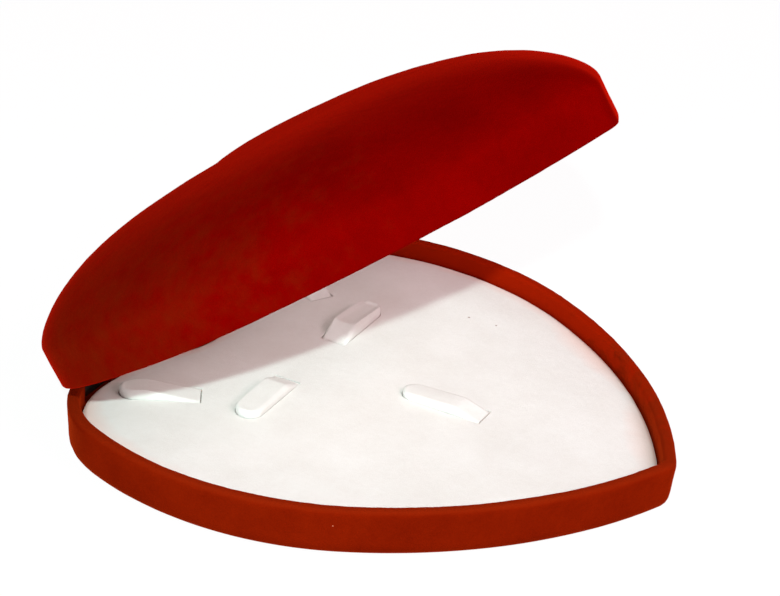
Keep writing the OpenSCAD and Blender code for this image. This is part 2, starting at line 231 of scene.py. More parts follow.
@dataclass(frozen=True)
class HeartOutline:
    """The heart as a chain of tangent arcs, from the point round one lobe to the cleft.

    Attributes:
        tip_half_angle: Degrees between the heart's length and a flank's start.
        flank_angle: Degrees of the flank's arc.
        side_angle: Degrees of the side's arc.
        tip_r: Radius of the point that the heart's length is measured to.
        soft_tip_r: Radius of the point under the flock.
        least_tip_r: Radius below which the point doesn't shrink inwards.
    """

    tip_half_angle: float = 68.0
    flank_r: float = 160.0 * MM
    flank_angle: float = 39.6
    side_r: float = 100.0 * MM
    side_angle: float = 51.0
    lobe_r: float = 35.0 * MM
    shoulder_r: float = 80.0 * MM
    cleft_r: float = 30.0 * MM
    tip_r: float = 3.0 * MM
    soft_tip_r: float = 7.0 * MM
    least_tip_r: float = 0.5 * MM

    def _chain(self) -> dict[str, Vector]:
        """Centres of the arcs, before the heart is centred on its own length.

        Returns:
            The centres, by the arcs' names.
        """
        flank = -on_circle(-self.tip_half_angle, self.flank_r)
        flank_end = -self.tip_half_angle + self.flank_angle
        side = flank + on_circle(flank_end, self.flank_r - self.side_r)
        side_end = flank_end + self.side_angle
        lobe = side + on_circle(side_end, self.side_r - self.lobe_r)
        shoulder = lobe + Vector((0.0, self.lobe_r - self.shoulder_r))
        reach = self.shoulder_r + self.cleft_r
        cleft = Vector((0.0, shoulder.y + math.sqrt(reach**2 - shoulder.x**2)))
        return {"flank": flank, "side": side, "lobe": lobe, "shoulder": shoulder, "cleft": cleft}

    def _tip_centre_y(self, inset: float, radius: float) -> float:
        """Place of the centre of the point's arc, for an inset outline.

        Args:
            inset: Distance inside the outline.
            radius: Radius of the point's arc.

        Returns:
            Its place on Y before the heart is centred.
        """
        flank = self._chain()["flank"]
        reach = self.flank_r - inset - radius
        return flank.y - math.sqrt(reach**2 - flank.x**2)

    @property
    def shift(self) -> float:
        """Distance that the chain moves so that the heart's length is centred.

        Returns:
            The distance along Y.
        """
        front = self._tip_centre_y(0.0, self.tip_r) - self.tip_r
        back = self._chain()["lobe"].y + self.lobe_r
        return -(front + back) / 2

    @property
    def lobe_x(self) -> float:
        """Sideways place of the lobes' crests."""
        return self._chain()["lobe"].x

    @property
    def lobe_y(self) -> float:
        """Place of the lobes' backs."""
        return self._chain()["lobe"].y + self.lobe_r + self.shift

    @lru_cache(maxsize=512)
    def arcs(self, inset: float, blunt: float = 0.0) -> tuple[Arc, ...]:
        """The half outline's arcs, pulled inwards.

        Args:
            inset: Distance inside the outline.
            blunt: Extra radius of the point.

        Returns:
            The six arcs, from the point to the cleft.
        """
        chain, up = self._chain(), self.shift
        tip_r = max(self.soft_tip_r + blunt - inset, self.least_tip_r)
        tip_y = self._tip_centre_y(inset, tip_r)
        tip_end = math.degrees(math.atan2(tip_y - chain["flank"].y, -chain["flank"].x))
        flank_end = -self.tip_half_angle + self.flank_angle
        side_end = flank_end + self.side_angle
        to_cleft = chain["cleft"] - chain["shoulder"]
        shoulder_end = math.degrees(math.atan2(to_cleft.y, to_cleft.x))

        def arc(centre: Vector, radius: float, start: float, end: float) -> Arc:
            """An arc about one of the chain's centres."""
            return Arc(centre.x, centre.y + up, radius, start, end)

        return (
            arc(Vector((0, tip_y)), tip_r, -90, tip_end),
            arc(chain["flank"], self.flank_r - inset, tip_end, flank_end),
            arc(chain["side"], self.side_r - inset, flank_end, side_end),
            arc(chain["lobe"], self.lobe_r - inset, side_end, 90),
            arc(chain["shoulder"], self.shoulder_r - inset, 90, shoulder_end),
            arc(chain["cleft"], self.cleft_r + inset, shoulder_end - 180, -90),
        )

    def steps(self, spacing: float) -> list[int]:
        """Steps on each arc, so that neighbouring points lie about spacing apart."""
        return [max(3, round(a.length / spacing)) for a in self.arcs(0.0)]


@dataclass(frozen=True)
class Ring:
    """One heart-shaped ring of a lofted surface.

    Attributes:
        inset: Distance inside the outline.
        height: Height of the ring.
        share: Size of the ring about the dome's middle, 1 being the whole heart.
        oval: Share by which the heart gives way to the dome's oval.
        blunt: Extra radius of the point.
    """

    inset: float
    height: float
    share: float = 1.0
    oval: float = 0.0
    blunt: float = 0.0


@dataclass(frozen=True)
class Dome:
    """The lid's puffed top, above its upright wall.

    Attributes:
        centre_y: Place of the dome's middle.
        spread_power: How squarely the dome fills the heart; height_power does so upwards.
        oval_share: Share of oval at the dome's top, with half widths oval_rx and oval_ry.
        ridge_r: Extra radius of the point's ridge at the top, which grows with ridge_power.
        pole_share: Size of the last ring before the pole.
    """

    centre_y: float = 20.0 * MM
    spread_power: float = 3.4
    height_power: float = 1.5
    oval_share: float = 0.4
    oval_rx: float = 85.0 * MM
    oval_ry: float = 80.0 * MM
    ridge_r: float = 60.0 * MM
    ridge_power: float = 0.7
    pole_share: float = 0.012

    def rings(self, inset: float, drop: float, steps: int) -> list[Ring]:
        """Rings from the wall's top to the pole.

        Args:
            inset: Distance inside the outer surface.
            drop: Distance of the top below the outer dome's top.
            steps: Number of steps up the dome.

        Returns:
            The rings, lowest first.
        """
        found = []
        for k in range(steps + 1):
            rise = math.sin(math.pi / 2 * k / steps)
            share = (1 - rise**self.height_power) ** (1 / self.spread_power)
            share = max(share, self.pole_share)
            height = CASE.lid_wall_h + (CASE.dome_rise - drop) * rise
            blunt = self.ridge_r * (1 - share) ** self.ridge_power
            found.append(Ring(inset, height, share, self.oval_share * (1 - share), blunt))
        return found

    def oval_reach(self, heading: Vector) -> float:
        """Distance from the dome's middle to the oval, along a heading."""
        across, along = heading.x / self.oval_rx, heading.y / self.oval_ry
        return 1 / math.sqrt(across**2 + along**2)


CASE = CaseSizes()
HEART = HeartOutline()
DOME = Dome()
MIDDLE = Vector((0.0, DOME.centre_y))
AXIS_Y = HEART.lobe_y + CASE.hinge_out


# --------------------------------------------------------------------------- mesh work


def round_over(inset: float, radius: float, steps: int, rising: bool) -> list[Pair]:
    """Insets and heights over a quarter round.

    Args:
        inset: Inset of the face that the round leaves or meets.
        radius: Radius of the round.
        steps: Number of steps.
        rising: True from the upright face to the top, False from the top to it.

    Returns:
        Pairs of inset and drop below the top.
    """
    spots = [on_circle(90 * k / steps) for k in range(steps + 1)]
    pairs = [(inset + radius * (1 - spot.x), radius * (1 - spot.y)) for spot in spots]
    return pairs if rising else pairs[::-1]


def verts_in(geom: list) -> list[BMVert]:
    """The points among an operator's results."""
    return [part for part in geom if isinstance(part, BMVert)]


def everything(bm: BMesh) -> list:
    """All points, edges and faces of a mesh."""
    return bm.verts[:] + bm.edges[:] + bm.faces[:]


def spin(bm: BMesh, vert: BMVert, centre: Vector, angle: float, steps: int) -> BMVert:
    """Sweeps a point round a centre in the plane, and leaves a chain of edges behind it.

    Args:
        bm: The mesh.
        vert: The point.
        centre: The centre.
        angle: Degrees to sweep.
        steps: Number of edges.

    Returns:
        The chain's last point.
    """
    spun = bmesh.ops.spin(
        bm,
        geom=[vert],
        cent=(centre.x, centre.y, 0.0),
        axis=UP,
        angle=math.radians(angle),
        steps=steps,
        use_merge=False,
        use_duplicate=False,
    )
    return verts_in(spun["geom_last"])[0]


class HeartLoft:
    """A surface grown ring by ring as a half heart, then mirrored into a closed mesh."""

    def __init__(self, spacing: float = 1.2 * MM) -> None:
        """Starts an empty loft.

        Args:
            spacing: Distance between neighbouring points along the outline.
        """
        self.bm = bmesh.new()
        self.tag = self.bm.verts.layers.float.new("along")
        self.steps = HEART.steps(spacing)
        self.edges: list[BMEdge] = []
        self.verts: list[BMVert] = []

    def _start(self, ring: Ring) -> None:
        """Spins the first ring, one arc after another, and tags each point with its place.

        Args:
            ring: The ring.
        """
        arcs = HEART.arcs(ring.inset, ring.blunt)
        last = self.bm.verts.new((0.0, arcs[0].point(0.0).y, 0.0))
        self.verts = [last]
        for index, (arc, steps) in enumerate(zip(arcs, self.steps)):
            last = spin(self.bm, last, arc.centre, arc.sweep, steps)
            known = set(self.verts)
            fresh = [vert for vert in self.bm.verts if vert not in known]
            for vert in fresh:
                vert[self.tag] = index + arc.share(vert.co.to_2d())
            self.verts += fresh
        self.edges = self.bm.edges[:]

    def grow(self, *rings: Ring) -> "HeartLoft":
        """Extrudes the surface on to each ring in turn.

        Args:
            rings: The rings.

        Returns:
            The loft itself.
        """
        for ring in rings:
            if self.edges:
                grown = bmesh.ops.extrude_edge_only(self.bm, edges=self.edges)["geom"]
                self.verts = verts_in(grown)
                fresh = set(self.verts)
                edges = [part for part in grown if isinstance(part, BMEdge)]
                self.edges = [edge for edge in edges if fresh.issuperset(edge.verts)]
            else:
                self._start(ring)
            self._place(ring)
        return self

    def _place(self, ring: Ring) -> None:
        """Sets the newest points on a ring.

        Args:
            ring: The ring.
        """
        arcs = HEART.arcs(ring.inset, ring.blunt)
        for vert in self.verts:
            along = vert[self.tag]
            index = min(int(along), len(arcs) - 1)
            spoke = arcs[index].point(along - index) - MIDDLE
            reach = spoke.length
            heading = spoke / reach
            if ring.oval:
                reach += ring.oval * (DOME.oval_reach(heading) - reach)
            spot = MIDDLE + heading * (reach * ring.share)
            on_seam = along < SEAM or along > len(arcs) - SEAM
            vert.co = (0.0 if on_seam else spot.x, spot.y, ring.height)

    def close(self, poles: int = 0) -> BMesh:
        """Mirrors the half, closes its open ends and turns the faces outwards.

        Args:
            poles: How many open ends run together in a point, from the highest down. The
                others are filled flat.

        Returns:
            The closed mesh.
        """
        bm = self.bm
        whole = Matrix.Identity(4)
        bmesh.ops.mirror(bm, geom=everything(bm), matrix=whole, merge_dist=TINY, axis="X")
        bmesh.ops.remove_doubles(bm, verts=bm.verts[:], dist=TINY)
        ends: dict[float, list[BMEdge]] = {}
        for edge in bm.edges:
            if edge.is_boundary:
                ends.setdefault(round(edge.verts[0].co.z / MM, 3), []).append(edge)
        for left, height in zip(range(len(ends), 0, -1), sorted(ends)):
            if left > poles:
                bmesh.ops.triangle_fill(bm, edges=ends[height], use_beauty=True, normal=UP)
            else:
                rim = list(dict.fromkeys(vert for edge in ends[height] for vert in edge.verts))
                centre = sum((vert.co for vert in rim), Vector()) / len(rim)
                bmesh.ops.pointmerge(bm, verts=rim, merge_co=centre)
        bmesh.ops.recalc_face_normals(bm, faces=bm.faces[:])
        return bm


def plate(inset: float, edge: float, low: float, high: float) -> BMesh:
    """A flat heart-shaped plate between two heights, with its edges broken.

    Args:
        inset: Distance of its edge inside the case's outline.
        edge: Size of the broken edges.
        low: Height of its underside.
        high: Height of its top.

    Returns:
        The closed mesh.
    """
    loft = HeartLoft(spacing=2.0 * MM)
    loft.grow(Ring(inset + edge, low), Ring(inset, low + edge))
    loft.grow(Ring(inset, high - edge), Ring(inset + edge, high))
    return loft.close()


def lid_opening() -> Matrix:
    """The turn about the hinge pins that stands the lid open.

    Returns:
        The turn.
    """
    pins = Matrix.Translation((0.0, AXIS_Y, CASE.axis_z))
    turn = Matrix.Rotation(math.radians(-CASE.open_angle), 4, "X")
    return pins @ turn @ pins.inverted()


def displace(bm: BMesh, step: Callable[[BMVert], Vector | None]) -> None:
    """Moves a mesh's points all at once.

    Args:
        bm: The mesh.
        step: Gives a point's move, or None where it stays.
    """
    bm.normal_update()
    moves = [(vert, step(vert)) for vert in bm.verts]
    for vert, move in moves:
        if move is not None:
            vert.co += move


def relief(bm: BMesh, waves: tuple[Pair, ...], mask: Callable[[Vector], float]) -> None:
    """Moves points along their normals by soft noise.

    Args:
        bm: The mesh.
        waves: Pairs of noise size and height.
        mask: Share of the relief at a point.
    """

    def step(vert: BMVert) -> Vector | None:
        """A point's move.

        Args:
            vert: The point.

        Returns:
            The move, or None where the point stays.
        """
        share = mask(vert.co)
        if not share:
            return None
        lift = sum(height * noise.noise(vert.co / size) for size, height in waves)
        return vert.normal * lift * share

    displace(bm, step)


# --------------------------------------------------------------------------- node work


class Bench:
    """Adds and joins the nodes of one material, world or node group."""

    def __init__(self, tree: bpy.types.NodeTree) -> None:
        """Keeps the tree that nodes go into."""
        self.tree = tree

    @classmethod
    def clear(cls, owner: bpy.types.Material | bpy.types.World) -> "Bench":
        """A bench on the emptied nodes of a material or world.

        Args:
            owner: The material or world.

        Returns:
            The bench.
        """
        owner.use_nodes = True
        owner.node_tree.nodes.clear()
        return cls(owner.node_tree)

    def add(self, kind: str, values: dict | None = None, **settings: object) -> bpy.types.Node:
        """Adds a node.

        Args:
            kind: The node's type name.
            values: Numbers, colours or sockets for its inputs, by name or place.
            settings: The node's own settings.

        Returns:
            The node.
        """
        node = self.tree.nodes.new(kind)
        for name, setting in settings.items():
            setattr(node, name, setting)
        for key, value in (values or {}).items():
            if isinstance(value, NodeSocket):
                self.tree.links.new(value, node.inputs[key])
            else:
                node.inputs[key].default_value = value
        return node

    def math(self, work: str, a: object, b: object = 0.0) -> NodeSocket:
        """Output of a Math node."""
        return self.add("ShaderNodeMath", {0: a, 1: b}, operation=work).outputs[0]

    def noise(self, at: object, scale: object, detail: float, rough: float) -> NodeSocket:
        """Value of a noise texture."""
        values = {"Vector": at, "Scale": scale, "Detail": detail, "Roughness": rough}
        return self.add("ShaderNodeTexNoise", values).outputs[0]

    def span(
        self, value: object, low: float, high: float, start: float = 0.0, end: float = 1.0
    ) -> NodeSocket:
        """A value spread from low..high to start..end, clamped."""
        values = {"From Min": low, "From Max": high, "To Min": start, "To Max": end}
        return self.add("ShaderNodeMapRange", {"Value": value} | values, clamp=True).outputs[0]

    def blend(self, share: object, low: object, high: object) -> NodeSocket:
        """Mix of two colours."""
        return self.add("ShaderNodeMix", {0: share, 6: low, 7: high}, data_type="RGBA").outputs[2]

    def mix(self, share: object, low: object, high: object) -> NodeSocket:
        """Mix of two values."""
        return self.add("ShaderNodeMix", {0: share, 2: low, 3: high}, data_type="FLOAT").outputs[0]

    def height(self) -> NodeSocket:
        """Height of a point on the piece."""
        return self.add("ShaderNodeSeparateXYZ", {0: self.place()}).outputs["Z"]

    def place(self) -> NodeSocket:
        """The piece's own coordinates."""
        return self.add("ShaderNodeTexCoord").outputs["Object"]


FLOAT, COLOUR = "NodeSocketFloat", "NodeSocketColor"


class Effect:
    """A node group, built once and used by several finishes."""

    name = ""
    inputs: tuple[tuple[str, str], ...] = ()
    outputs: tuple[tuple[str, str], ...] = ()

    def tree(self) -> bpy.types.NodeTree:
        """The group, made at its first use.

        Returns:
            The group.
        """
        found = bpy.data.node_groups.get(self.name)
        if found:
            return found
        made = bpy.data.node_groups.new(self.name, "ShaderNodeTree")
        for side, sockets in (("INPUT", self.inputs), ("OUTPUT", self.outputs)):
            for name, kind in sockets:
                made.interface.new_socket(name, in_out=side, socket_type=kind)
        bench = Bench(made)
        given = bench.add("NodeGroupInput")
        bench.add("NodeGroupOutput", self.build(bench, given.outputs))
        return made

    def build(self, bench: Bench, given: bpy.types.NodeOutputs) -> dict[str, NodeSocket]:
        """Makes the group's nodes.

        Args:
            bench: The group's bench.
            given: The group's inputs, by name.

        Returns:
            The group's outputs, by name.
        """
        raise NotImplementedError

    def use(self, bench: Bench, *values: object) -> bpy.types.NodeOutputs:
        """Places the group in a material.

        Args:
            bench: The material's bench.
            values: Numbers, colours or sockets for the group's inputs, in their order.

        Returns:
            The group's outputs, by name.
        """
        return bench.add("ShaderNodeGroup", dict(enumerate(values)), node_tree=self.tree()).outputs


class NapEffect(Effect):
    """Cloudy lay of a cut pile: patches that lean one way, over single fibres.

    Each noise is given by its detail and its roughness.
    """

    name = "Pile nap"
    inputs = (
        ("Low", COLOUR),
        ("High", COLOUR),
        ("Patch Scale", FLOAT),
        ("Clump Scale", FLOAT),
        ("Fibre Scale", FLOAT),
        ("Fibre Share", FLOAT),
    )
    outputs = (("Color", COLOUR), ("Height", FLOAT))
    patch_noise = (4.0, 0.55)
    patch_span = (0.32, 0.68)
    clump_noise = (3.0, 0.6)
    clump_span = (0.3, 0.7)
    fibre_noise = (2.0, 0.7)
    fibre_in_colour = 0.6
    fibre_in_height = 0.7

    def build(self, bench: Bench, given: bpy.types.NodeOutputs) -> dict[str, NodeSocket]:
        """Mixes the patches with the clumps and fibres.

        Args:
            bench: The group's bench.
            given: The group's inputs, by name.

        Returns:
            The group's outputs, by name.
        """
        at = bench.place()
        patch = bench.noise(at, given["Patch Scale"], *self.patch_noise)
        patch = bench.span(patch, *self.patch_span)
        clump = bench.noise(at, given["Clump Scale"], *self.clump_noise)
        clump = bench.span(clump, *self.clump_span)
        fibre = bench.noise(at, given["Fibre Scale"], *self.fibre_noise)
        grain = bench.mix(self.fibre_in_colour, clump, fibre)
        share = bench.mix(given["Fibre Share"], patch, grain)
        return {
            "Color": bench.blend(share, given["Low"], given["High"]),
            "Height": bench.mix(self.fibre_in_height, clump, fibre),
        }


class LintEffect(Effect):
    """Sparse specks of lint or dust."""

    name = "Lint"
    inputs = (("Scale", FLOAT), ("Size", FLOAT), ("Share", FLOAT))
    outputs = (("Mask", FLOAT),)

    def build(self, bench: Bench, given: bpy.types.NodeOutputs) -> dict[str, NodeSocket]:
        """Marks the middles of some cells, chosen by the cells' own tint.

        Args:
            bench: The group's bench.
            given: The group's inputs, by name.

        Returns:
            The group's outputs, by name.
        """
        at = {"Vector": bench.place(), "Scale": given["Scale"]}
        cells = bench.add("ShaderNodeTexVoronoi", at).outputs
        near = bench.math("LESS_THAN", cells["Distance"], given["Size"])
        tint = bench.add("ShaderNodeSeparateColor", {0: cells["Color"]}).outputs[0]
        chosen = bench.math("LESS_THAN", tint, given["Share"])
        return {"Mask": bench.math("MULTIPLY", near, chosen)}


class StreakEffect(Effect):
    """Fine lines along one direction, as on drawn steel, satin or paper."""

    name = "Streaks"
    inputs = (("Across", FLOAT), ("Along", FLOAT), ("Turn", FLOAT))
    outputs = (("Value", FLOAT),)
    line_noise = (1.0, 3.0, 0.6)

    def build(self, bench: Bench, given: bpy.types.NodeOutputs) -> dict[str, NodeSocket]:
        """Turns the place, stretches it and reads a noise of scale, detail and roughness there.

        Args:
            bench: The group's bench.
            given: The group's inputs, by name.

        Returns:
            The group's outputs, by name.
        """
        sizes = {0: given["Along"], 1: given["Across"], 2: given["Across"]}
        scale = bench.add("ShaderNodeCombineXYZ", sizes).outputs[0]
        turn = bench.add("ShaderNodeCombineXYZ", {2: given["Turn"]}).outputs[0]
        turning = {0: bench.place(), "Rotation": turn}
        turned = bench.add("ShaderNodeVectorRotate", turning, rotation_type="EULER_XYZ").outputs[0]
        at = bench.add("ShaderNodeVectorMath", {0: turned, 1: scale}, operation="MULTIPLY")
        return {"Value": bench.noise(at.outputs[0], *self.line_noise)}


class CellEffect(Effect):
    """Open cells of a cut sponge."""

    name = "Sponge cells"
    inputs = (("Scale", FLOAT), ("Pore", COLOUR), ("Web", COLOUR))
    outputs = (("Color", COLOUR), ("Height", FLOAT))
    web_span = (0.02, 0.22)

    def build(self, bench: Bench, given: bpy.types.NodeOutputs) -> dict[str, NodeSocket]:
        """Raises the webs between the cells and colours them apart, darker in the pores as painted
        shade in the cells' hollows.

        Args:
            bench: The group's bench.
            given: The group's inputs, by name.

        Returns:
            The group's outputs, by name.
        """
        at = {"Vector": bench.place(), "Scale": given["Scale"]}
        cells = bench.add("ShaderNodeTexVoronoi", at, feature="DISTANCE_TO_EDGE").outputs
        web = bench.math("SUBTRACT", 1.0, bench.span(cells["Distance"], *self.web_span))
        return {"Color": bench.blend(web, given["Pore"], given["Web"]), "Height": web}


NAP, LINT, STREAKS, CELLS = NapEffect(), LintEffect(), StreakEffect(), CellEffect()


@dataclass(frozen=True, kw_only=True)
class Finish:
    """A finish: its material is made once and shared by the pieces that have it.

    Attributes:
        name: Name of the material.
        slot: Material slot of the record; not used.
        depth: Depth of the bump.
        roughness: Roughness, where it is the same all over.
    """

    name: str
    slot: Slot
    depth: float
    roughness: float = 0.5
    metallic: float = 0.0
    specular: float = 0.5
    sheen: float = 0.0
    sheen_roughness: float = 0.5
    sheen_tint: Colour = WHITE

    def material(self) -> bpy.types.Material:
        """The material, made at its first use.

        Returns:
            The material.
        """
        found = bpy.data.materials.get(self.name)
        if found:
            return found
        made = bpy.data.materials.new(self.name)
        bench = Bench.clear(made)
        bench.add("ShaderNodeOutputMaterial", {"Surface": self.shade(bench)})
        return made

    def shade(self, bench: Bench) -> NodeSocket:
        """Makes the finish's nodes and returns its shader."""
        raise NotImplementedError

    def surface(
        self,
        bench: Bench,
        colour: NodeSocket,
        height: NodeSocket,
        rough: NodeSocket | None = None,
    ) -> NodeSocket:
        """The shader of the finish.

        Args:
            bench: The material's bench.
            colour: Colour of the surface.
            height: Height that its bump follows.
            rough: Its roughness, where that varies.

        Returns:
            The shader.
        """
        bump = {"Strength": 1.0, "Distance": self.depth, "Height": height}
        values = {
            "Base Color": colour,
            "Metallic": self.metallic,
            "Roughness": self.roughness if rough is None else rough,
            "Specular IOR Level": self.specular,
            "Sheen Weight": self.sheen,
            "Sheen Roughness": self.sheen_roughness,
            "Sheen Tint": self.sheen_tint,
            "Normal": bench.add("ShaderNodeBump", bump).outputs[0],
        }
        return bench.add("ShaderNodeBsdfPrincipled", values).outputs[0]


@dataclass(frozen=True, kw_only=True)
class PileFinish(Finish):
    """Cut pile with a cloudy nap, and a few specks caught in it.

    Attributes:
        low: Colour of the pile that leans away.
        high: Colour of the pile that leans towards the light.
        nap: Scales of patches, clumps and fibres, and the share of the fibres.
        speck: Colour of the specks.
        specks: Scale, size and share of the specks.
    """

    low: Colour
    high: Colour
    nap: tuple[float, float, float, float]
    speck: Colour
    specks: tuple[float, float, float]

    def lay(self, bench: Bench) -> bpy.types.NodeOutputs:
        """The nap's colour and height."""
        return NAP.use(bench, self.low, self.high, *self.nap)

    def speckle(self, bench: Bench, colour: NodeSocket) -> NodeSocket:
        """A colour with the specks on it."""
        return bench.blend(LINT.use(bench, *self.specks)["Mask"], colour, self.speck)


@dataclass(frozen=True, kw_only=True)
class FlockFinish(PileFinish):
    """Short dense pile blown on to the moulded shells, with a painted sheen where it is seen edge on.

    Attributes:
        rim: Colour of the painted sheen where the pile is seen edge on, which sets in with
            painted_sheen_power.
        painted_side_light: Colour of the side with painted light, along side_light_heading over
            side_light_span.
        mottle: Scale, detail and roughness of the noise that breaks the painted side light up.
        mottle_reach: Distance by which it does so at most.
        painted_edge_light: Colour of the painted light on the rim's top and the foot's edge, between
            the heights of edge_light_top and edge_light_foot.
    """

    slot: Slot = Slot.FLOCK
    depth: float = 0.22 * MM
    roughness: float = 1.0
    specular: float = 0.0
    sheen: float = 0.05
    sheen_roughness: float = 0.3
    sheen_tint: Colour = (1.0, 0.04, 0.008, 1.0)
    nap: tuple[float, float, float, float] = (38.0, 420.0, 2600.0, 0.45)
    speck: Colour = (0.50, 0.14, 0.08, 1.0)
    specks: tuple[float, float, float] = (95.0, 0.022, 0.25)
    rim: Colour
    painted_sheen_power: float = 5.6
    painted_side_light: Colour
    side_light_heading: tuple[float, float, float]
    side_light_span: Pair
    mottle: tuple[float, float, float] = (150.0, 4.0, 0.6)
    mottle_reach: float = 160 * MM
    painted_edge_light: Colour | None = None
    edge_light_top: Pair = (CASE.base_h - 1.2 * MM, CASE.base_h - 0.1 * MM)
    edge_light_foot: Pair = (2.0 * MM, 0.3 * MM)

    def _edge_light_mask(self, bench: Bench) -> NodeSocket:
        """Mask of the painted light on the rim's top and the foot's edge."""
        height = bench.height()
        return bench.math("MAXIMUM", *(bench.span(height, *s) for s in (self.edge_light_top, self.edge_light_foot)))

    def _side_light_mask(self, bench: Bench) -> NodeSocket:
        """Mask of the side with painted light, with a mottled border.

        Args:
            bench: The material's bench.

        Returns:
            The mask.
        """
        along = {0: bench.place(), 1: self.side_light_heading}
        across = bench.add("ShaderNodeVectorMath", along, operation="DOT_PRODUCT").outputs["Value"]
        patchy = bench.noise(bench.place(), *self.mottle)
        across = bench.math("ADD", across, bench.math("MULTIPLY", patchy, self.mottle_reach))
        return bench.span(across, *self.side_light_span)

    def shade(self, bench: Bench) -> NodeSocket:
        """Lays the painted edge light and the painted side light over the nap, then the painted sheen
        where it is seen edge on, and the lint.

        Args:
            bench: The material's bench.

        Returns:
            The shader.
        """
        nap = self.lay(bench)
        colour = nap["Color"]
        # Painted light: the rim's top and the foot's edge turn lighter and more orange, as where the
        # light catches them.
        if self.painted_edge_light:
            colour = bench.blend(self._edge_light_mask(bench), colour, self.painted_edge_light)
        # Painted light: one side of the shell takes another colour, standing in for how the light
        # falls on it.
        colour = bench.blend(self._side_light_mask(bench), colour, self.painted_side_light)
        # Painted sheen: the colour turns to the rim colour where the pile is seen edge on.
        facing = bench.add("ShaderNodeLayerWeight", {"Blend": 0.5}).outputs["Facing"]
        colour = bench.blend(bench.math("POWER", facing, self.painted_sheen_power), colour, self.rim)
        return self.surface(bench, self.speckle(bench, colour), nap["Height"])


@dataclass(frozen=True, kw_only=True)
class VelvetFinish(PileFinish):
    """White pile on the pad and its tongues, faintly cream in its clumps.

    Attributes:
        painted_red_bounce: Painted red bounce light from the walls on the pad's rolled edge.
        red_bounce_span: Heights between which the painted bounce sets in.
    """

    name: str = "White velvet"
    slot: Slot = Slot.VELVET
    depth: float = 0.12 * MM
    roughness: float = 0.92
    specular: float = 0.15
    sheen: float = 0.15
    sheen_tint: Colour = (1.0, 0.97, 0.93, 1.0)
    low: Colour = (0.785, 0.765, 0.72, 1.0)
    high: Colour = (0.885, 0.88, 0.845, 1.0)
    nap: tuple[float, float, float, float] = (55.0, 520.0, 2800.0, 0.5)
    speck: Colour = (0.42, 0.34, 0.29, 1.0)
    specks: tuple[float, float, float] = (70.0, 0.03, 0.3)
    painted_red_bounce: Colour = (0.885, 0.62, 0.54, 1.0)
    red_bounce_span: Pair = (CASE.pad_edge_z + 0.26 * MM, CASE.pad_edge_z - 0.3 * MM)

    def shade(self, bench: Bench) -> NodeSocket:
        """Lays the specks and the painted red bounce over the nap.

        Args:
            bench: The material's bench.

        Returns:
            The shader.
        """
        nap = self.lay(bench)
        colour = self.speckle(bench, nap["Color"])
        # Painted red bounce light on the pad's rolled edge, next to the red walls.
        colour = bench.blend(bench.span(bench.height(), *self.red_bounce_span), colour, self.painted_red_bounce)
        return self.surface(bench, colour, nap["Height"])


@dataclass(frozen=True, kw_only=True)
class SatinFinish(Finish):
    """Blush-white satin: fine warp lines, and a soft gloss along them.

    Attributes:
        warp: Lines across and along the cloth, and their turn; weft has the same.
        weft_share: Strength of the weft beside the warp's.
        weave_span: Weave values between which the colour goes from low to high.
        gloss: Two weave values and the roughness at each.
    """

    name: str = "Blush satin"
    slot: Slot = Slot.SATIN
    depth: float = 0.05 * MM
    specular: float = 0.45
    sheen: float = 0.25
    sheen_roughness: float = 0.35
    low: Colour = (0.75, 0.675, 0.655, 1.0)
    high: Colour = (0.86, 0.795, 0.77, 1.0)
    warp: tuple[float, float, float] = (3200.0, 160.0, 0.0)
    weft: tuple[float, float, float] = (2400.0, 220.0, math.pi / 2)
    weft_share: float = 0.5
    weave_span: Pair = (0.45, 1.05)
    gloss: tuple[float, float, float, float] = (0.4, 1.1, 0.42, 0.3)

    def shade(self, bench: Bench) -> NodeSocket:
        """Weaves the lines, which colour the cloth and change its gloss.

        Args:
            bench: The material's bench.

        Returns:
            The shader.
        """
        weft = bench.math("MULTIPLY", STREAKS.use(bench, *self.weft)["Value"], self.weft_share)
        weave = bench.math("ADD", STREAKS.use(bench, *self.warp)["Value"], weft)
        colour = bench.blend(bench.span(weave, *self.weave_span), self.low, self.high)
        return self.surface(bench, colour, weave, bench.span(weave, *self.gloss))


@dataclass(frozen=True, kw_only=True)
class SpongeFinish(Finish):
    """Cut upholstery sponge with open cells."""

    name: str = "Cream sponge"
    slot: Slot = Slot.SPONGE
    depth: float = 0.25 * MM
    roughness: float = 0.9
    specular: float = 0.2
    cell_scale: float = 1100.0
    # The pores' darker colour is painted shade in the cells' hollows.
    pore: Colour = (0.66, 0.60, 0.53, 1.0)
    web: Colour = (0.86, 0.82, 0.76, 1.0)

    def shade(self, bench: Bench) -> NodeSocket:
        """Opens the cells."""
        cells = CELLS.use(bench, self.cell_scale, self.pore, self.web)
        return self.surface(bench, cells["Color"], cells["Height"])


@dataclass(frozen=True, kw_only=True)
class CardFinish(Finish):
    """Pressed grey card, with its fibres and a few darker flecks.

    Attributes:
        fibres: Fibres across and along the card, and their turn.
        fibre_span: Fibre values between which the colour goes from low to high.
        flecks: Scale, size and share of the flecks.
    """

    name: str = "Grey card"
    slot: Slot = Slot.CARD
    depth: float = 0.04 * MM
    roughness: float = 0.85
    specular: float = 0.25
    low: Colour = (0.27, 0.25, 0.22, 1.0)
    high: Colour = (0.38, 0.36, 0.33, 1.0)
    fibres: tuple[float, float, float] = (1300.0, 380.0, 0.6)
    fibre_span: Pair = (0.3, 0.7)
    fleck: Colour = (0.12, 0.10, 0.08, 1.0)
    flecks: tuple[float, float, float] = (520.0, 0.16, 0.12)

    def shade(self, bench: Bench) -> NodeSocket:
        """Lays the flecks over the fibres.

        Args:
            bench: The material's bench.

        Returns:
            The shader.
        """
        fibre = STREAKS.use(bench, *self.fibres)["Value"]
        colour = bench.blend(bench.span(fibre, *self.fibre_span), self.low, self.high)
        colour = bench.blend(LINT.use(bench, *self.flecks)["Mask"], colour, self.fleck)
        return self.surface(bench, colour, fibre)


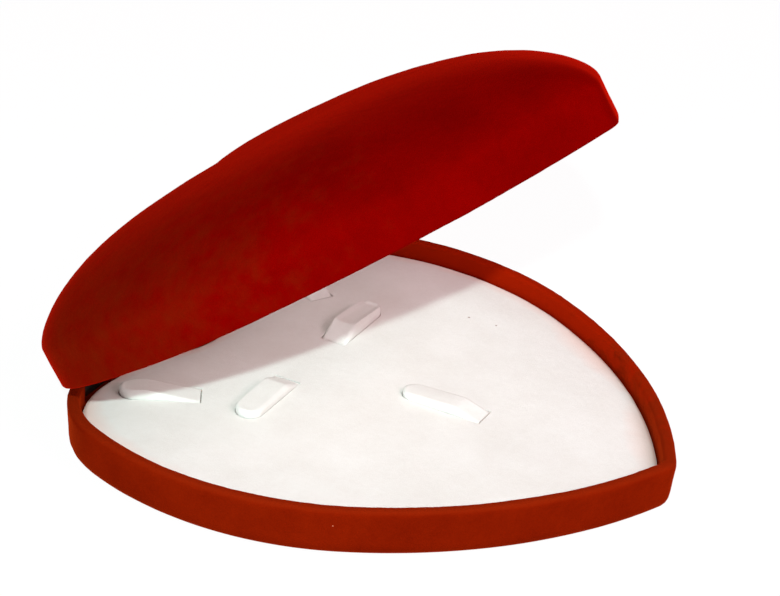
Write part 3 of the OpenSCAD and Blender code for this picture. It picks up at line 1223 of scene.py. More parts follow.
@dataclass(frozen=True, kw_only=True)
class SteelFinish(Finish):
    """Stamped hinge steel kept near black as painted shade for its shadowed pocket, drawn along the
    pins and worn brighter in patches.

    Attributes:
        lines: Drawn lines across and along the steel, and their turn.
        gloss: Two values of the lines and the roughness at each.
        tarnish: Scale, detail and roughness of the noise that places the tarnish.
        tarnish_span: Values of that noise between which the tarnish sets in.
    """

    name: str = "Hinge steel"
    slot: Slot = Slot.STEEL
    depth: float = 0.02 * MM
    metallic: float = 1.0
    # Near-black colours: painted shade for the hinge's shadowed pocket.
    bright: Colour = (0.055, 0.050, 0.046, 1.0)
    dull: Colour = (0.018, 0.016, 0.015, 1.0)
    lines: tuple[float, float, float] = (4200.0, 260.0, 0.0)
    gloss: tuple[float, float, float, float] = (0.3, 0.7, 0.34, 0.52)
    tarnish: tuple[float, float, float] = (420.0, 4.0, 0.65)
    tarnish_span: Pair = (0.45, 0.75)

    def shade(self, bench: Bench) -> NodeSocket:
        """Lays the tarnish over the drawn lines.

        Args:
            bench: The material's bench.

        Returns:
            The shader.
        """
        drawn = STREAKS.use(bench, *self.lines)["Value"]
        tarnish = bench.noise(bench.place(), *self.tarnish)
        share = bench.span(tarnish, *self.tarnish_span)
        colour = bench.blend(share, self.bright, self.dull)
        return self.surface(bench, colour, drawn, bench.span(drawn, *self.gloss))


# The lid and the tray wear one red flock: their two colours are painted light, each shell's flock
# coloured as the light falls on it.
LID_FLOCK = FlockFinish(
    name="Red flock with painted lid light",
    low=(0.122, 0.0002, 0.0001, 1.0),
    high=(0.194, 0.0003, 0.0001, 1.0),
    rim=(0.72, 0.009, 0.0020, 1.0),
    painted_side_light=(0.143, 0.0062, 0.0008, 1.0),
    side_light_heading=(-0.42, 0.91, 0.0),
    side_light_span=(110 * MM, 210 * MM),
)
TRAY_FLOCK = FlockFinish(
    name="Red flock with painted tray light",
    low=(0.140, 0.0050, 0.0004, 1.0),
    high=(0.224, 0.0106, 0.0008, 1.0),
    rim=(0.60, 0.055, 0.008, 1.0),
    painted_side_light=(0.300, 0.0098, 0.0007, 1.0),
    side_light_heading=(0.98, 0.10, 0.0),
    side_light_span=(98 * MM, 138 * MM),
    painted_edge_light=(0.225, 0.0130, 0.0016, 1.0),
)
VELVET, SATIN, SPONGE = VelvetFinish(), SatinFinish(), SpongeFinish()
CARD, STEEL = CardFinish(), SteelFinish()


# --------------------------------------------------------------------------- pieces


def smooth(mesh: bpy.types.Mesh, sharp: float = 40.0) -> None:
    """Shades a mesh smooth but for edges that turn by more than sharp degrees."""
    mesh.shade_smooth()
    mesh.set_sharp_from_angle(angle=math.radians(sharp))


def to_object(name: str, bm: BMesh, sharp: float = 40.0) -> bpy.types.Object:
    """Makes an object of a bmesh.

    Args:
        name: The object's name.
        bm: The mesh, which is freed.
        sharp: Angle in degrees past which an edge stays sharp.

    Returns:
        The object, at the origin.
    """
    mesh = bpy.data.meshes.new(name)
    bm.to_mesh(mesh)
    bm.free()
    smooth(mesh, sharp)
    made = bpy.data.objects.new(name, mesh)
    bpy.context.scene.collection.objects.link(made)
    return made


def carve(piece: bpy.types.Object, cutters: list[bpy.types.Object]) -> None:
    """Cuts cutters out of a piece, removes them and welds the slivers that they left.

    Args:
        piece: The piece, whose mesh is replaced.
        cutters: The cutters.
    """
    for cutter in cutters:
        cut = piece.modifiers.new(cutter.name, "BOOLEAN")
        cut.operation, cut.solver, cut.object = "DIFFERENCE", "EXACT", cutter
    bpy.context.view_layer.update()
    seen = piece.evaluated_get(bpy.context.evaluated_depsgraph_get())
    mesh = bpy.data.meshes.new_from_object(seen)
    piece.modifiers.clear()
    piece.data = mesh
    smooth(mesh)
    bm = bmesh.new()
    bm.from_mesh(mesh)
    bmesh.ops.remove_doubles(bm, verts=bm.verts[:], dist=WELD)
    bmesh.ops.holes_fill(bm, edges=[e for e in bm.edges if e.is_boundary], sides=5)
    bm.to_mesh(mesh)
    bm.free()
    for cutter in cutters:
        bpy.data.objects.remove(cutter)


def coat(piece: bpy.types.Object, finish: Finish) -> None:
    """Gives a piece a finish in place of what it has.

    Args:
        piece: The piece.
        finish: The finish.
    """
    piece.data.materials.clear()
    piece.data.materials.append(finish.material())
    LOG.info("%s: %s on %d faces", piece.name, finish.name, len(piece.data.polygons))


def dress(piece: bpy.types.Object, finish: Finish, body: Body, node: str) -> bpy.types.Object:
    """Gives a new piece its finish and its body, and hides the frame's node that it stands for.

    Args:
        piece: The piece.
        finish: Its finish.
        body: Body that it rides on.
        node: Node of the frame that it stands for.

    Returns:
        The same piece.
    """
    coat(piece, finish)
    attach(piece, body.value)
    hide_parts(node)
    return piece


def block(width: float, along: Pair, upwards: Pair) -> BMesh:
    """A block centred on X, between two places on Y and two on Z.

    Args:
        width: Its size on X.
        along: Its two ends on Y.
        upwards: Its bottom and its top.

    Returns:
        The block's mesh.
    """
    size = (width, along[1] - along[0], upwards[1] - upwards[0])
    middle = (0.0, sum(along) / 2, sum(upwards) / 2)
    bm = bmesh.new()
    bmesh.ops.create_cube(bm, size=1.0)
    bmesh.ops.scale(bm, vec=size, verts=bm.verts[:])
    bmesh.ops.translate(bm, vec=middle, verts=bm.verts[:])
    return bm


@dataclass(frozen=True)
class ButtHinge:
    """Room for a small steel butt hinge at a lobe, whose own parts the frame holds.

    Attributes:
        side: -1 for the left lobe and 1 for the right.
        over: Overlap of neighbouring cutters.
    """

    side: int
    width: float = 15.0 * MM
    head_t: float = 0.5 * MM
    part_gap: float = 0.3 * MM
    barrel_r: float = 1.5 * MM
    plate_h: float = 7.0 * MM
    pocket_skin: float = 1.9 * MM
    over: float = 0.01 * MM
    segments: int = 32

    def cutters(self, level: int) -> list[bpy.types.Object]:
        """Cutters for the notch in a rim and the pocket behind it.

        Args:
            level: -1 for the tray's half and 1 for the lid's.

        Returns:
            A round cutter for the barrels and two blocks.
        """
        span = self.width + 2 * (self.head_t + self.part_gap)
        skin = HEART.lobe_y - self.pocket_skin - AXIS_Y
        back = HEART.lobe_y - AXIS_Y + 2 * self.barrel_r
        inner = -CASE.wall - CASE.ledge_w - CASE.hinge_out
        barrels = bmesh.new()
        bmesh.ops.create_cone(
            barrels,
            cap_ends=True,
            segments=self.segments,
            radius1=self.barrel_r + self.part_gap,
            radius2=self.barrel_r + self.part_gap,
            depth=span,
            matrix=Matrix.Rotation(math.pi / 2, 4, "Y"),
        )
        notch = (-self.over, self.barrel_r + CASE.touch_gap)
        pocket = (-self.over, self.barrel_r + self.plate_h + self.part_gap)
        shapes = {
            "barrels": barrels,
            "notch": block(span, (skin - self.over, back), notch),
            "pocket": block(span, (inner, skin), pocket),
        }
        place = (self.side * HEART.lobe_x, AXIS_Y, CASE.axis_z)
        found = []
        for name, bm in shapes.items():
            bmesh.ops.scale(bm, vec=(1, 1, level), verts=bm.verts[:])
            bmesh.ops.translate(bm, vec=place, verts=bm.verts[:])
            bmesh.ops.recalc_face_normals(bm, faces=bm.faces[:])
            found.append(to_object(f"cut_{name}_{self.side}_{level}", bm))
        return found


def notch_hinges(shell: bpy.types.Object, level: int) -> None:
    """Cuts the room for both hinges out of a shell: level -1 is the tray and 1 the lid."""
    carve(shell, [cutter for side in (-1, 1) for cutter in ButtHinge(side).cutters(level)])


@dataclass(frozen=True)
class FlockLumps:
    """Lumps of flock caught on an edge: they stand out sideways and hardly rise off the rim.

    Attributes:
        seed: Seed of the lumps' places and sizes.
        count: Number of lumps.
        width: Half of the largest lump's width.
        least: Size of the smallest lump, as a share of the largest.
        upward: Share of a lump's height that is left where it would rise.
        reach: Squared widths past which a lump has died away.
    """

    seed: int
    count: int
    height: float = 0.28 * MM
    width: float = 0.54 * MM
    least: float = 0.4
    upward: float = 0.2
    reach: float = 6.0

    def raise_on(self, bm: BMesh, edge: Callable[[Vector], bool]) -> None:
        """Raises the lumps at points of an edge.

        Args:
            bm: The mesh.
            edge: True for a point that a lump may sit on.
        """
        draw = random.Random(self.seed)
        spots = [v.co.copy() for v in bm.verts if edge(v.co)]
        chosen = [(draw.choice(spots), draw.uniform(self.least, 1.0)) for _ in range(self.count)]

        def step(vert: BMVert) -> Vector | None:
            """A point's move.

            Args:
                vert: The point.

            Returns:
                The move, or None where the point stays.
            """
            lift = 0.0
            for spot, size in chosen:
                wide = self.width * (1 + size)
                gap = (vert.co - spot).length_squared / wide**2
                if gap < self.reach:
                    lift += size * self.height * math.exp(-gap)
            return lift * vert.normal * Vector((1, 1, self.upward)) if lift else None

        displace(bm, step)


@dataclass(frozen=True)
class Tray:
    """The flocked base: wall, ledge, floor and the sheet glued under it.

    Attributes:
        recess_gap: Play between the sheet and the top of its recess.
        waves: Sizes and heights of the shell's unevenness.
        calm: Height up to which the shell lies flat, and the height over which that fades.
        lump_share: Share of the rim's edge on which lumps sit.
    """

    wall_steps: int = 9
    round_steps: int = 6
    inner_steps: int = 4
    recess_gap: float = 0.03 * MM
    sheet_edge: float = 0.12 * MM
    foot_r: float = 5.0 * MM
    rim_r: float = 1.8 * MM
    inner_r: float = 1.4 * MM
    waves: tuple[Pair, ...] = ((26 * MM, 0.16 * MM), (6 * MM, 0.07 * MM), (1.6 * MM, 0.06 * MM))
    calm: Pair = (0.5 * MM, 2.0 * MM)
    lumps: FlockLumps = FlockLumps(seed=11, count=26)
    lump_share: float = 0.6

    def build(self) -> None:
        """Builds and dresses the tray's pieces."""
        self._shell()
        self._sheet()

    def _shell(self) -> None:
        """The moulded, flocked shell with its hinge notches."""
        c = CASE
        sheet = c.draft + c.bottom_round + c.sheet_margin
        loft = HeartLoft().grow(Ring(sheet, c.sheet_t + self.recess_gap), Ring(sheet, 0.0))
        foot = round_over(c.draft, self.foot_r, self.round_steps, rising=False)
        loft.grow(*[Ring(inset, drop) for inset, drop in foot])
        low, high = self.foot_r, c.base_h - self.rim_r
        for k in range(1, self.wall_steps):
            share = k / self.wall_steps
            loft.grow(Ring(c.draft * (1 - share), low + (high - low) * share))
        outer = round_over(0.0, self.rim_r, self.round_steps, rising=True)
        loft.grow(*[Ring(inset, c.base_h - drop) for inset, drop in outer])
        inner = self.inner_r
        loft.grow(Ring((self.rim_r + c.wall - inner) / 2, c.base_h), Ring(c.wall - inner, c.base_h))
        for k in range(1, self.round_steps + 1):
            spot = on_circle(90 - 90 * k / self.round_steps, inner)
            loft.grow(Ring(c.wall - inner + spot.x, c.base_h - inner + spot.y))
        for k in range(1, self.inner_steps + 1):
            fall = (c.base_h - inner - c.ledge_z) * k / self.inner_steps
            loft.grow(Ring(c.wall, c.base_h - inner - fall))
        loft.grow(Ring(c.wall + c.ledge_w, c.ledge_z), Ring(c.wall + c.ledge_w, c.floor_t))
        bm = loft.close()
        flat, fade = self.calm
        relief(bm, self.waves, lambda p: clamp((p.z - flat) / fade))
        edge = c.base_h - self.lump_share * c.rim_edge
        self.lumps.raise_on(bm, lambda p: p.z > edge)
        shell = to_object("tray_flocked_shell", bm)
        notch_hinges(shell, -1)
        dress(shell, TRAY_FLOCK, Body.TRAY, "base_shell")

    def _sheet(self) -> None:
        """The card sheet glued into the recess under the tray."""
        c = CASE
        inset = c.draft + c.bottom_round + c.sheet_margin + c.soft_gap
        bm = plate(inset, self.sheet_edge, low=0.0, high=c.sheet_t)
        dress(to_object("tray_bottom_sheet", bm), CARD, Body.TRAY, "base_bottom_sheet")


@dataclass(frozen=True)
class Tongue:
    """A die-cut flap of the velvet cover, bent up at its root and flattened at its fold.

    Attributes:
        name: Node that the tongue stands for.
        body: Body that it rides on.
        x: Place of its root across the case, with y along it.
        turn: Degrees from the case's right to the tongue's length.
        run: Distance from the root to the fold, where it has risen by lift.
        arch: Height of its middle over its edges, and lip that of a ridge inside them.
        twist: Rise of its left edge and fall of its right.
        tuck: Least depth of its back below the pad's top.
        tip_drop: Fall from the fold to the tip.
        fold_r: Half length of the bends at root and fold.
        cut_gap: Gap of the slot round it, and root_gap the gap behind its root.
        root_trim: What it lacks of half the cover's thickness behind its root.
        edge_r: Radius of its rolled edge, in steps of edge_steps.
        lip_place: Place of the ridge as a share of the way to the edge; lip_width is its width.
        under_edge: Width of the bevel under it, on edges that turn by more than under_angle.
        cell: Size of its mesh.
    """

    name: str
    body: Body
    x: float
    y: float
    turn: float
    length: float
    run: float
    lift: float
    arch: float
    lip: float
    twist: float
    tuck: float = 0.25 * MM
    tip_drop: float = 0.8 * MM
    fold_r: float = 0.9 * MM
    width: float = 9.0 * MM
    thick: float = 2.4 * MM
    cut_gap: float = 0.15 * MM
    root_gap: float = 0.35 * MM
    root_trim: float = 0.05 * MM
    edge_r: float = 0.95 * MM
    edge_steps: tuple[float, ...] = (0.03, 0.09, 0.16, 0.24, 0.30)
    lip_place: float = 0.80
    lip_width: float = 0.16
    under_edge: float = 0.12 * MM
    under_angle: float = 55.0
    cell: float = 0.6 * MM
    tip_steps: int = 20

    @property
    def to_case(self) -> Matrix:
        """From the tongue's own frame to the case's."""
        root = Matrix.Translation((self.x, self.y, CASE.pad_top))
        return root @ Matrix.Rotation(math.radians(self.turn), 4, "Z")

    def _plan(self, half: float, root: float, end: float) -> BMesh:
        """A flat plan: straight at the root, round at the end.

        Args:
            half: Half of the plan's width.
            root: Reach behind the tongue's root.
            end: Length of the plan past the root.

        Returns:
            A mesh of one face.
        """
        bm = bmesh.new()
        corner = bm.verts.new((-root, -half, 0.0))
        shoulder = bm.verts.new((end - half, -half, 0.0))
        bm.edges.new((corner, shoulder))
        last = spin(bm, shoulder, Vector((end - half, 0.0)), 180.0, self.tip_steps)
        far = bm.verts.new((-root, half, 0.0))
        bm.edges.new((last, far))
        bm.edges.new((far, corner))
        bmesh.ops.edgeloop_fill(bm, edges=bm.edges[:])
        return bm

    def slot_cutter(self) -> bpy.types.Object:
        """A cutter for the tongue's slot in the pad's cover.

        Returns:
            The cutter, in the case's frame.
        """
        half = self.width / 2 + self.cut_gap
        bm = self._plan(half, CASE.cover_t / 2 + self.root_gap, self.length + 2 * self.cut_gap)
        bmesh.ops.translate(bm, vec=(0, 0, -CASE.cover_t * 1.5), verts=bm.verts[:])
        grown = bmesh.ops.extrude_face_region(bm, geom=bm.faces[:])["geom"]
        through = (0, 0, 2 * CASE.cover_t + CASE.pad_crown)
        bmesh.ops.translate(bm, vec=through, verts=verts_in(grown))
        bmesh.ops.recalc_face_normals(bm, faces=bm.faces[:])
        bmesh.ops.transform(bm, matrix=self.to_case, verts=bm.verts[:])
        return to_object(f"cut_{self.name}", bm)

    def _bend(self, gap: float, change: float) -> float:
        """Rise that a change of slope brings at a distance past it, with the corner rounded.

        Args:
            gap: Distance past the change of slope, below zero before it.
            change: The change of slope.

        Returns:
            The rise.
        """
        if gap <= -self.fold_r:
            return 0.0
        if gap >= self.fold_r:
            return change * gap
        share = (gap + self.fold_r) / (2 * self.fold_r)
        return change * self.fold_r * share * share

    def _height(self, x: float, y: float) -> float:
        """Height of the tongue's face above the pad at a point of its plan.

        Args:
            x: Distance along the tongue from its root.
            y: Distance across it from its middle.

        Returns:
            The height.
        """
        slope_in = self.lift / self.run
        slope_out = -self.tip_drop / (self.length - self.run)
        base = self._bend(x, slope_in) + self._bend(x - self.run, slope_out - slope_in)
        free = clamp((x - 0.5 * self.run) / self.run)
        across = 2 * y / self.width
        reach = max(abs(across), max(0.0, x - self.length + self.width / 2) * 2 / self.width)
        hollow = self.arch * (1 - across**2)
        ridge = self.lip * math.exp(-(((reach - self.lip_place) / self.lip_width) ** 2))
        return base + free * (hollow + ridge + self.twist * across)

    def _roll(self, x: float, y: float) -> float:
        """Fall of the tongue's face over its rolled edge.

        Args:
            x: Distance along the tongue from its root.
            y: Distance across it from its middle.

        Returns:
            The fall.
        """
        half = self.width / 2
        beyond = max(0.0, x - self.length + half)
        inward = max(half - math.hypot(beyond, y), 0.0)
        share = clamp(1 - inward / self.edge_r)
        return self.edge_r * (1 - math.sqrt(1 - share**2))

    def _underside(self, x: float, y: float) -> float:
        """Height of the tongue's sponge back, which stays tucked in its slot."""
        thick = CASE.cover_t + (self.thick - CASE.cover_t) * clamp(x / self.run)
        return min(self._height(x, y) - thick, -self.tuck)

    def _mesh(self) -> BMesh:
        """The flat tongue, with rings along its edge and a grid across it.

        Returns:
            The mesh, with its faces turned up.
        """
        bm = self._plan(self.width / 2, CASE.cover_t / 2 - self.root_trim, self.length)
        flat = bm.faces[:]
        for step in self.edge_steps:
            wide = step * self.edge_r
            bmesh.ops.inset_region(bm, faces=flat, thickness=wide, use_even_offset=True)
        rows = int(self.width / self.cell)
        cuts = [((k * self.cell, 0, 0), (1, 0, 0)) for k in range(int(self.length / self.cell) + 1)]
        cuts += [((0, self.width * (k / rows - 0.5), 0), (0, 1, 0)) for k in range(1, rows)]
        for place, normal in cuts:
            bmesh.ops.bisect_plane(
                bm, geom=everything(bm), dist=TINY, plane_co=place, plane_no=normal
            )
        bmesh.ops.recalc_face_normals(bm, faces=bm.faces[:])
        if sum(f.normal.z for f in bm.faces) < 0:
            bmesh.ops.reverse_faces(bm, faces=bm.faces[:])
        return bm

    def build(self) -> None:
        """Builds and dresses the tongue."""
        bm = self._mesh()
        grown = bmesh.ops.extrude_face_region(bm, geom=bm.faces[:], use_keep_orig=True)["geom"]
        low = set(verts_in(grown))
        for vert in bm.verts:
            x, y, _ = vert.co
            face = self._height(x, y) - self._roll(x, y)
            vert.co.z = self._underside(x, y) if vert in low else face
        bmesh.ops.recalc_face_normals(bm, faces=bm.faces[:])
        under = [e for e in bm.edges if low.issuperset(e.verts)]
        turned = math.radians(self.under_angle)
        bmesh.ops.bevel(
            bm,
            geom=[e for e in under if e.calc_face_angle(0.0) > turned],
            offset=self.under_edge,
            segments=2,
            profile=0.5,
            affect="EDGES",
            material=-1,
        )
        bmesh.ops.transform(bm, matrix=self.to_case, verts=bm.verts[:])
        piece = to_object(f"velvet_{self.name}", bm, sharp=50.0)
        dress(piece, VELVET, self.body, self.name)


UPPER = {"y": HEART.lobe_y - 34.0 * MM, "length": 25 * MM, "lift": 3.0 * MM, "lip": 0.2 * MM}
SIDE = {"y": 37.6 * MM, "length": 28 * MM, "run": 7 * MM}
TONGUES = (
    Tongue("tongue_upper_left", Body.UPPER_LEFT, -40 * MM, turn=119, run=16 * MM, arch=0.1 * MM,
           twist=0.25 * MM, **UPPER),
    Tongue("tongue_upper_right", Body.UPPER_RIGHT, 40 * MM, turn=61, run=5 * MM, arch=0.15 * MM,
           twist=-0.2 * MM, **UPPER),
    Tongue("tongue_middle_left", Body.MIDDLE_LEFT, -15.8 * MM, turn=180, lift=3.0 * MM,
           arch=0.2 * MM, lip=0.15 * MM, twist=-0.1 * MM, **SIDE),
    Tongue("tongue_middle_right", Body.MIDDLE_RIGHT, 15.8 * MM, turn=0, lift=4.2 * MM,
           arch=-0.5 * MM, lip=0.6 * MM, twist=0.0, tuck=0.1 * MM, tip_drop=1.7 * MM,
           fold_r=0.6 * MM, **SIDE),
    Tongue("tongue_front", Body.FRONT, 0.0, y=65.2 * MM - HEART.lobe_y, turn=90, length=28 * MM,
           run=8 * MM, lift=2.4 * MM, arch=0.35 * MM, lip=0.1 * MM, twist=0.15 * MM),
)


@dataclass(frozen=True)
class Pad:
    """The padded insert: card board, sponge and the velvet cover with its tongues.

    Attributes:
        crown_shares: Sizes of the rings on the crown's slope.
        inner_shares: Sizes of the rings on its flat top.
        waves: Sizes and heights of the cover's unevenness, on its face alone.
        face_depth: Depth below the pad's edge at which its face ends.
    """

    crown_shares: tuple[float, ...] = (0.975, 0.95, 0.92, 0.88, 0.84, 0.8, 0.76, 0.72)
    inner_shares: tuple[float, ...] = (0.66, 0.6, 0.53, 0.46, 0.39, 0.32, 0.25, 0.18, 0.11, 0.05, 0.01)
    roll_steps: int = 7
    board_edge: float = 0.15 * MM
    waves: tuple[Pair, ...] = ((34 * MM, 0.22 * MM), (11 * MM, 0.09 * MM), (2.4 * MM, 0.03 * MM))
    face_depth: float = 0.5 * MM
    fill: float = 0.7

    def build(self) -> None:
        """Builds and dresses the pad's pieces."""
        self._board()
        self._sponge()
        self._cover()
        for tongue in TONGUES:
            tongue.build()

    def _crown(self, share: float) -> float:
        """Rise of the pad's face over its edge at a share of the way out."""
        slope = max(share - CASE.pad_flat, 0.0) / (1 - CASE.pad_flat)
        return CASE.pad_crown * (1 - slope * slope)

    def _face(self, depth: float) -> list[Ring]:
        """Rings over the pad's rolled edge and crown, at a depth below its skin.

        Args:
            depth: Depth below the pad's skin.

        Returns:
            The rings, from the edge to the middle.
        """
        c = CASE
        roll, inset = c.pad_round - depth, c.pad_inset + depth
        rings = []
        for k in range(self.roll_steps + 1):
            spot = on_circle(90 * k / self.roll_steps, roll)
            rings.append(Ring(inset + roll - spot.x, c.pad_edge_z - c.pad_round + spot.y))
        for share in self.crown_shares + self.inner_shares:
            rings.append(Ring(inset + roll, c.pad_edge_z - depth + self._crown(share), share))
        return rings

    def _board(self) -> None:
        """The card board under the sponge."""
        c = CASE
        inset = c.pad_inset + c.cover_t + c.soft_gap
        bm = plate(inset, self.board_edge, low=c.board_z, high=c.board_z + c.board_t)
        dress(to_object("pad_card_board", bm), CARD, Body.TRAY, "pad_board")

    def _sponge(self) -> None:
        """The sponge under the cover."""
        depth = CASE.cover_t + CASE.soft_gap
        loft = HeartLoft(spacing=1.8 * MM).grow(Ring(CASE.pad_inset + depth, CASE.foam_z))
        bm = loft.grow(*self._face(depth)).close(poles=1)
        piece = dress(to_object("pad_sponge_layer", bm), SPONGE, Body.TRAY, "pad_foam")

    def _cover(self) -> None:
        """The velvet cover, cut round each tongue."""
        c = CASE
        loft = HeartLoft(spacing=1.4 * MM).grow(*reversed(self._face(c.cover_t)))
        loft.grow(Ring(c.pad_inset + c.cover_t, c.foam_z), Ring(c.pad_inset, c.foam_z))
        bm = loft.grow(*self._face(0.0)).close(poles=2)
        low = c.pad_edge_z - self.face_depth
        relief(bm, self.waves, lambda p: 1.0 if p.z > low else 0.0)
        piece = to_object("pad_velvet_cover", bm)
        carve(piece, [tongue.slot_cutter() for tongue in TONGUES])
        dress(piece, VELVET, Body.TRAY, "pad_cover")


@dataclass(frozen=True)
class Lid:
    """The puffed lid: flocked shell, card ring, sponge and satin lining.

    Attributes:
        dome_steps: Steps up the dome's outside, and inner_steps those up its inside.
        lining_steps: Steps up the lining's face, and back_steps those up its back.
        waves: Sizes and heights of the shell's unevenness.
        lump_share: Share of the rim's edge on which lumps sit.
        pleats: Number of pleats and hollows round the lining, of height pleat_h.
        skirt_share: Share of a pleat's height on the lining's skirt.
        pleat_fade: Share of the lining's rise over which the pleats fade out.
        wander: How far the pleats stray, in half turns, over wander_size.
        puff: Height to which the lining puffs up, over puff_share of its rise.
        fold_h: Height of its soft folds, of size fold_size.
        facing: Least facing of the dome's middle that counts as the lining's face.
    """

    wall_steps: int = 9
    round_steps: int = 5
    dome_steps: int = 54
    inner_steps: int = 18
    sponge_steps: int = 16
    lining_steps: int = 30
    back_steps: int = 14
    skirt_steps: int = 4
    ring_edge: float = 0.12 * MM
    waves: tuple[Pair, ...] = ((30 * MM, 0.22 * MM), (7 * MM, 0.08 * MM), (1.6 * MM, 0.06 * MM))
    lumps: FlockLumps = FlockLumps(seed=5, count=30)
    lump_share: float = 0.7
    pleats: int = 96
    pleat_h: float = 0.55 * MM
    skirt_share: float = 0.22
    pleat_fade: float = 0.34
    wander: float = 2.2
    wander_size: float = 24 * MM
    puff: float = 1.6 * MM
    puff_share: float = 0.25
    fold_h: float = 0.35 * MM
    fold_size: float = 13 * MM
    facing: float = 0.2
    sponge_fill: float = 0.6
    lining_fill: float = 0.5

    def build(self) -> None:
        """Builds and dresses the lid's pieces."""
        self._shell()
        self._ring()
        self._sponge()
        self._lining()

    @staticmethod
    def _loft(rings: list[Ring], spacing: float, poles: int) -> BMesh:
        """A closed mesh over rings that are measured from the closed lid's rim."""
        raised = [replace(ring, height=ring.height + CASE.lid_z) for ring in rings]
        return HeartLoft(spacing).grow(*raised).close(poles)

    @staticmethod
    def _opened(name: str, bm: BMesh, sharp: float = 40.0) -> bpy.types.Object:
        """A piece of the closed lid's mesh, turned open about the pins."""
        bmesh.ops.transform(bm, matrix=lid_opening(), verts=bm.verts[:])
        return to_object(name, bm, sharp)

    def _shell(self) -> None:
        """The moulded, flocked dome with its hinge notches."""
        c = CASE
        rings = DOME.rings(c.wall, c.dome_t, self.inner_steps)[::-1]
        inner = c.rim_edge / 2
        for angle in (0, 30, 60, 90):
            spot = on_circle(-angle, inner)
            rings.append(Ring(c.wall - inner + spot.x, inner + spot.y))
        rings.append(Ring((c.wall + inner) / 2, 0.0))
        foot = round_over(0.0, c.rim_edge, self.round_steps, rising=False)
        rings += [Ring(inset, drop) for inset, drop in foot]
        for k in range(1, self.wall_steps):
            rings.append(Ring(0.0, c.rim_edge + (c.lid_wall_h - c.rim_edge) * k / self.wall_steps))
        rings += DOME.rings(0.0, 0.0, self.dome_steps)
        bm = self._loft(rings, spacing=1.2 * MM, poles=2)
        relief(bm, self.waves, lambda p: 1.0)
        edge = c.lid_z + self.lump_share * c.rim_edge
        self.lumps.raise_on(bm, lambda p: p.z < edge)
        shell = to_object("lid_flocked_shell", bm)
        notch_hinges(shell, 1)
        shell.data.transform(lid_opening())
        dress(shell, LID_FLOCK, Body.LID, "lid_shell")

    def _ring(self) -> None:
        """The card ring that holds the lining's edge."""
        c = CASE
        outer = c.wall + c.soft_gap
        inner = outer + c.ring_t
        low, high = c.ring_inset, c.ring_inset + c.ring_h
        edge = self.ring_edge
        rings = [
            Ring(inner, high - edge),
            Ring(inner, low + edge),
            Ring(inner - edge, low),
            Ring(outer + edge, low),
            Ring(outer, low + edge),
            Ring(outer, high - edge),
            Ring(outer + edge, high),
            Ring(inner - edge, high),
        ]
        bm = self._loft(rings + rings[:1], spacing=1.6 * MM, poles=0)
        dress(self._opened("lid_card_ring", bm), CARD, Body.LID, "lid_liner_ring")

    def _sponge(self) -> None:
        """The sponge between the dome and the satin."""
        c = CASE
        outer = c.wall + c.soft_gap
        inner = outer + c.lid_foam_t
        edge = c.ring_inset + c.ring_h + c.soft_gap
        drop = c.dome_t + c.soft_gap
        rings = DOME.rings(inner, drop + c.lid_foam_t, self.sponge_steps)[::-1]
        rings += [Ring(inner, edge), Ring(outer, edge)]
        rings += DOME.rings(outer, drop, self.sponge_steps)
        bm = self._loft(rings, spacing=2.4 * MM, poles=2)
        piece = self._opened("lid_sponge_layer", bm)
        dress(piece, SPONGE, Body.LID, "lid_foam")

    def _lining(self) -> None:
        """The puffed satin, gathered at the ring."""
        c = CASE
        skirt = c.wall + c.ring_t + 2 * c.soft_gap
        outer = c.wall + c.lid_foam_t + 2 * c.soft_gap
        drop = c.dome_t + c.lid_foam_t + 2 * c.soft_gap
        hem = 2 * c.ring_inset
        turn = c.ring_inset + c.ring_h - c.satin_t - c.soft_gap
        rings = DOME.rings(outer + c.satin_t, drop + c.satin_t, self.lining_steps)[::-1]
        rings.append(Ring(outer + c.satin_t, turn - c.satin_t + c.soft_gap))
        for k in range(self.skirt_steps, -1, -1):
            fall = (turn - c.satin_t - hem) * k / self.skirt_steps
            rings.append(Ring(skirt + c.satin_t, hem + fall))
        rings += [Ring(skirt, hem), Ring(skirt, turn), Ring(outer, turn + c.soft_gap)]
        rings += DOME.rings(outer, drop, self.back_steps)
        bm = self._loft(rings, spacing=1.1 * MM, poles=2)
        self._gather(bm, turn + c.lid_z)
        piece = self._opened("lid_satin_lining", bm, sharp=50.0)
        dress(piece, SATIN, Body.LID, "lid_satin")

    def _gather(self, bm: BMesh, turn: float) -> None:
        """Puffs the lining inwards and gathers it into soft pleats.

        Args:
            bm: The lining's mesh, closed.
            turn: Height of its turned edge.
        """
        middle = Vector((MIDDLE.x, MIDDLE.y, CASE.lid_z))

        def step(vert: BMVert) -> Vector | None:
            """A point's move.

            Args:
                vert: The point.

            Returns:
                The move, or None where the point stays.
            """
            if vert.normal.dot((middle - vert.co).normalized()) < self.facing:
                return None
            angle = math.atan2(vert.co.y - MIDDLE.y, vert.co.x)
            place = Vector((vert.co.x, vert.co.y, 0.0)) / self.wander_size
            stray = self.wander * noise.noise(place) * math.pi
            pleat = self.pleat_h * math.sin(self.pleats * angle / 2 + stray)
            rise = vert.co.z - turn
            if rise < 0:
                return vert.normal * (self.skirt_share * pleat)
            share = rise / (CASE.dome_rise + CASE.lid_wall_h)
            fade = math.exp(-((share / self.pleat_fade) ** 2))
            swell = self.puff * math.sin(min(share / self.puff_share, 1.0) * math.pi / 2)
            folds = self.fold_h * noise.noise(vert.co / self.fold_size)
            return vert.normal * (swell + fade * pleat + folds)

        displace(bm, step)


@dataclass(frozen=True)
class Hinges:
    """The hinges' leaves, pins and rivets, which keep the frame's own meshes."""

    paired: tuple[str, ...] = ("base_leaf", "lid_leaf", "pin")
    grouped: tuple[str, ...] = ("base_rivets", "lid_rivets")

    def build(self, shown: dict[str, bpy.types.Object]) -> None:
        """Gives the frame's hinge parts their steel.

        Args:
            shown: The frame's objects, by node.
        """
        parts = [f"{part}_{side}" for part in self.paired for side in ("left", "right")]
        for part in parts + list(self.grouped):
            coat(shown[f"hinge_{part}"], STEEL)


# --------------------------------------------------------------------------- studio


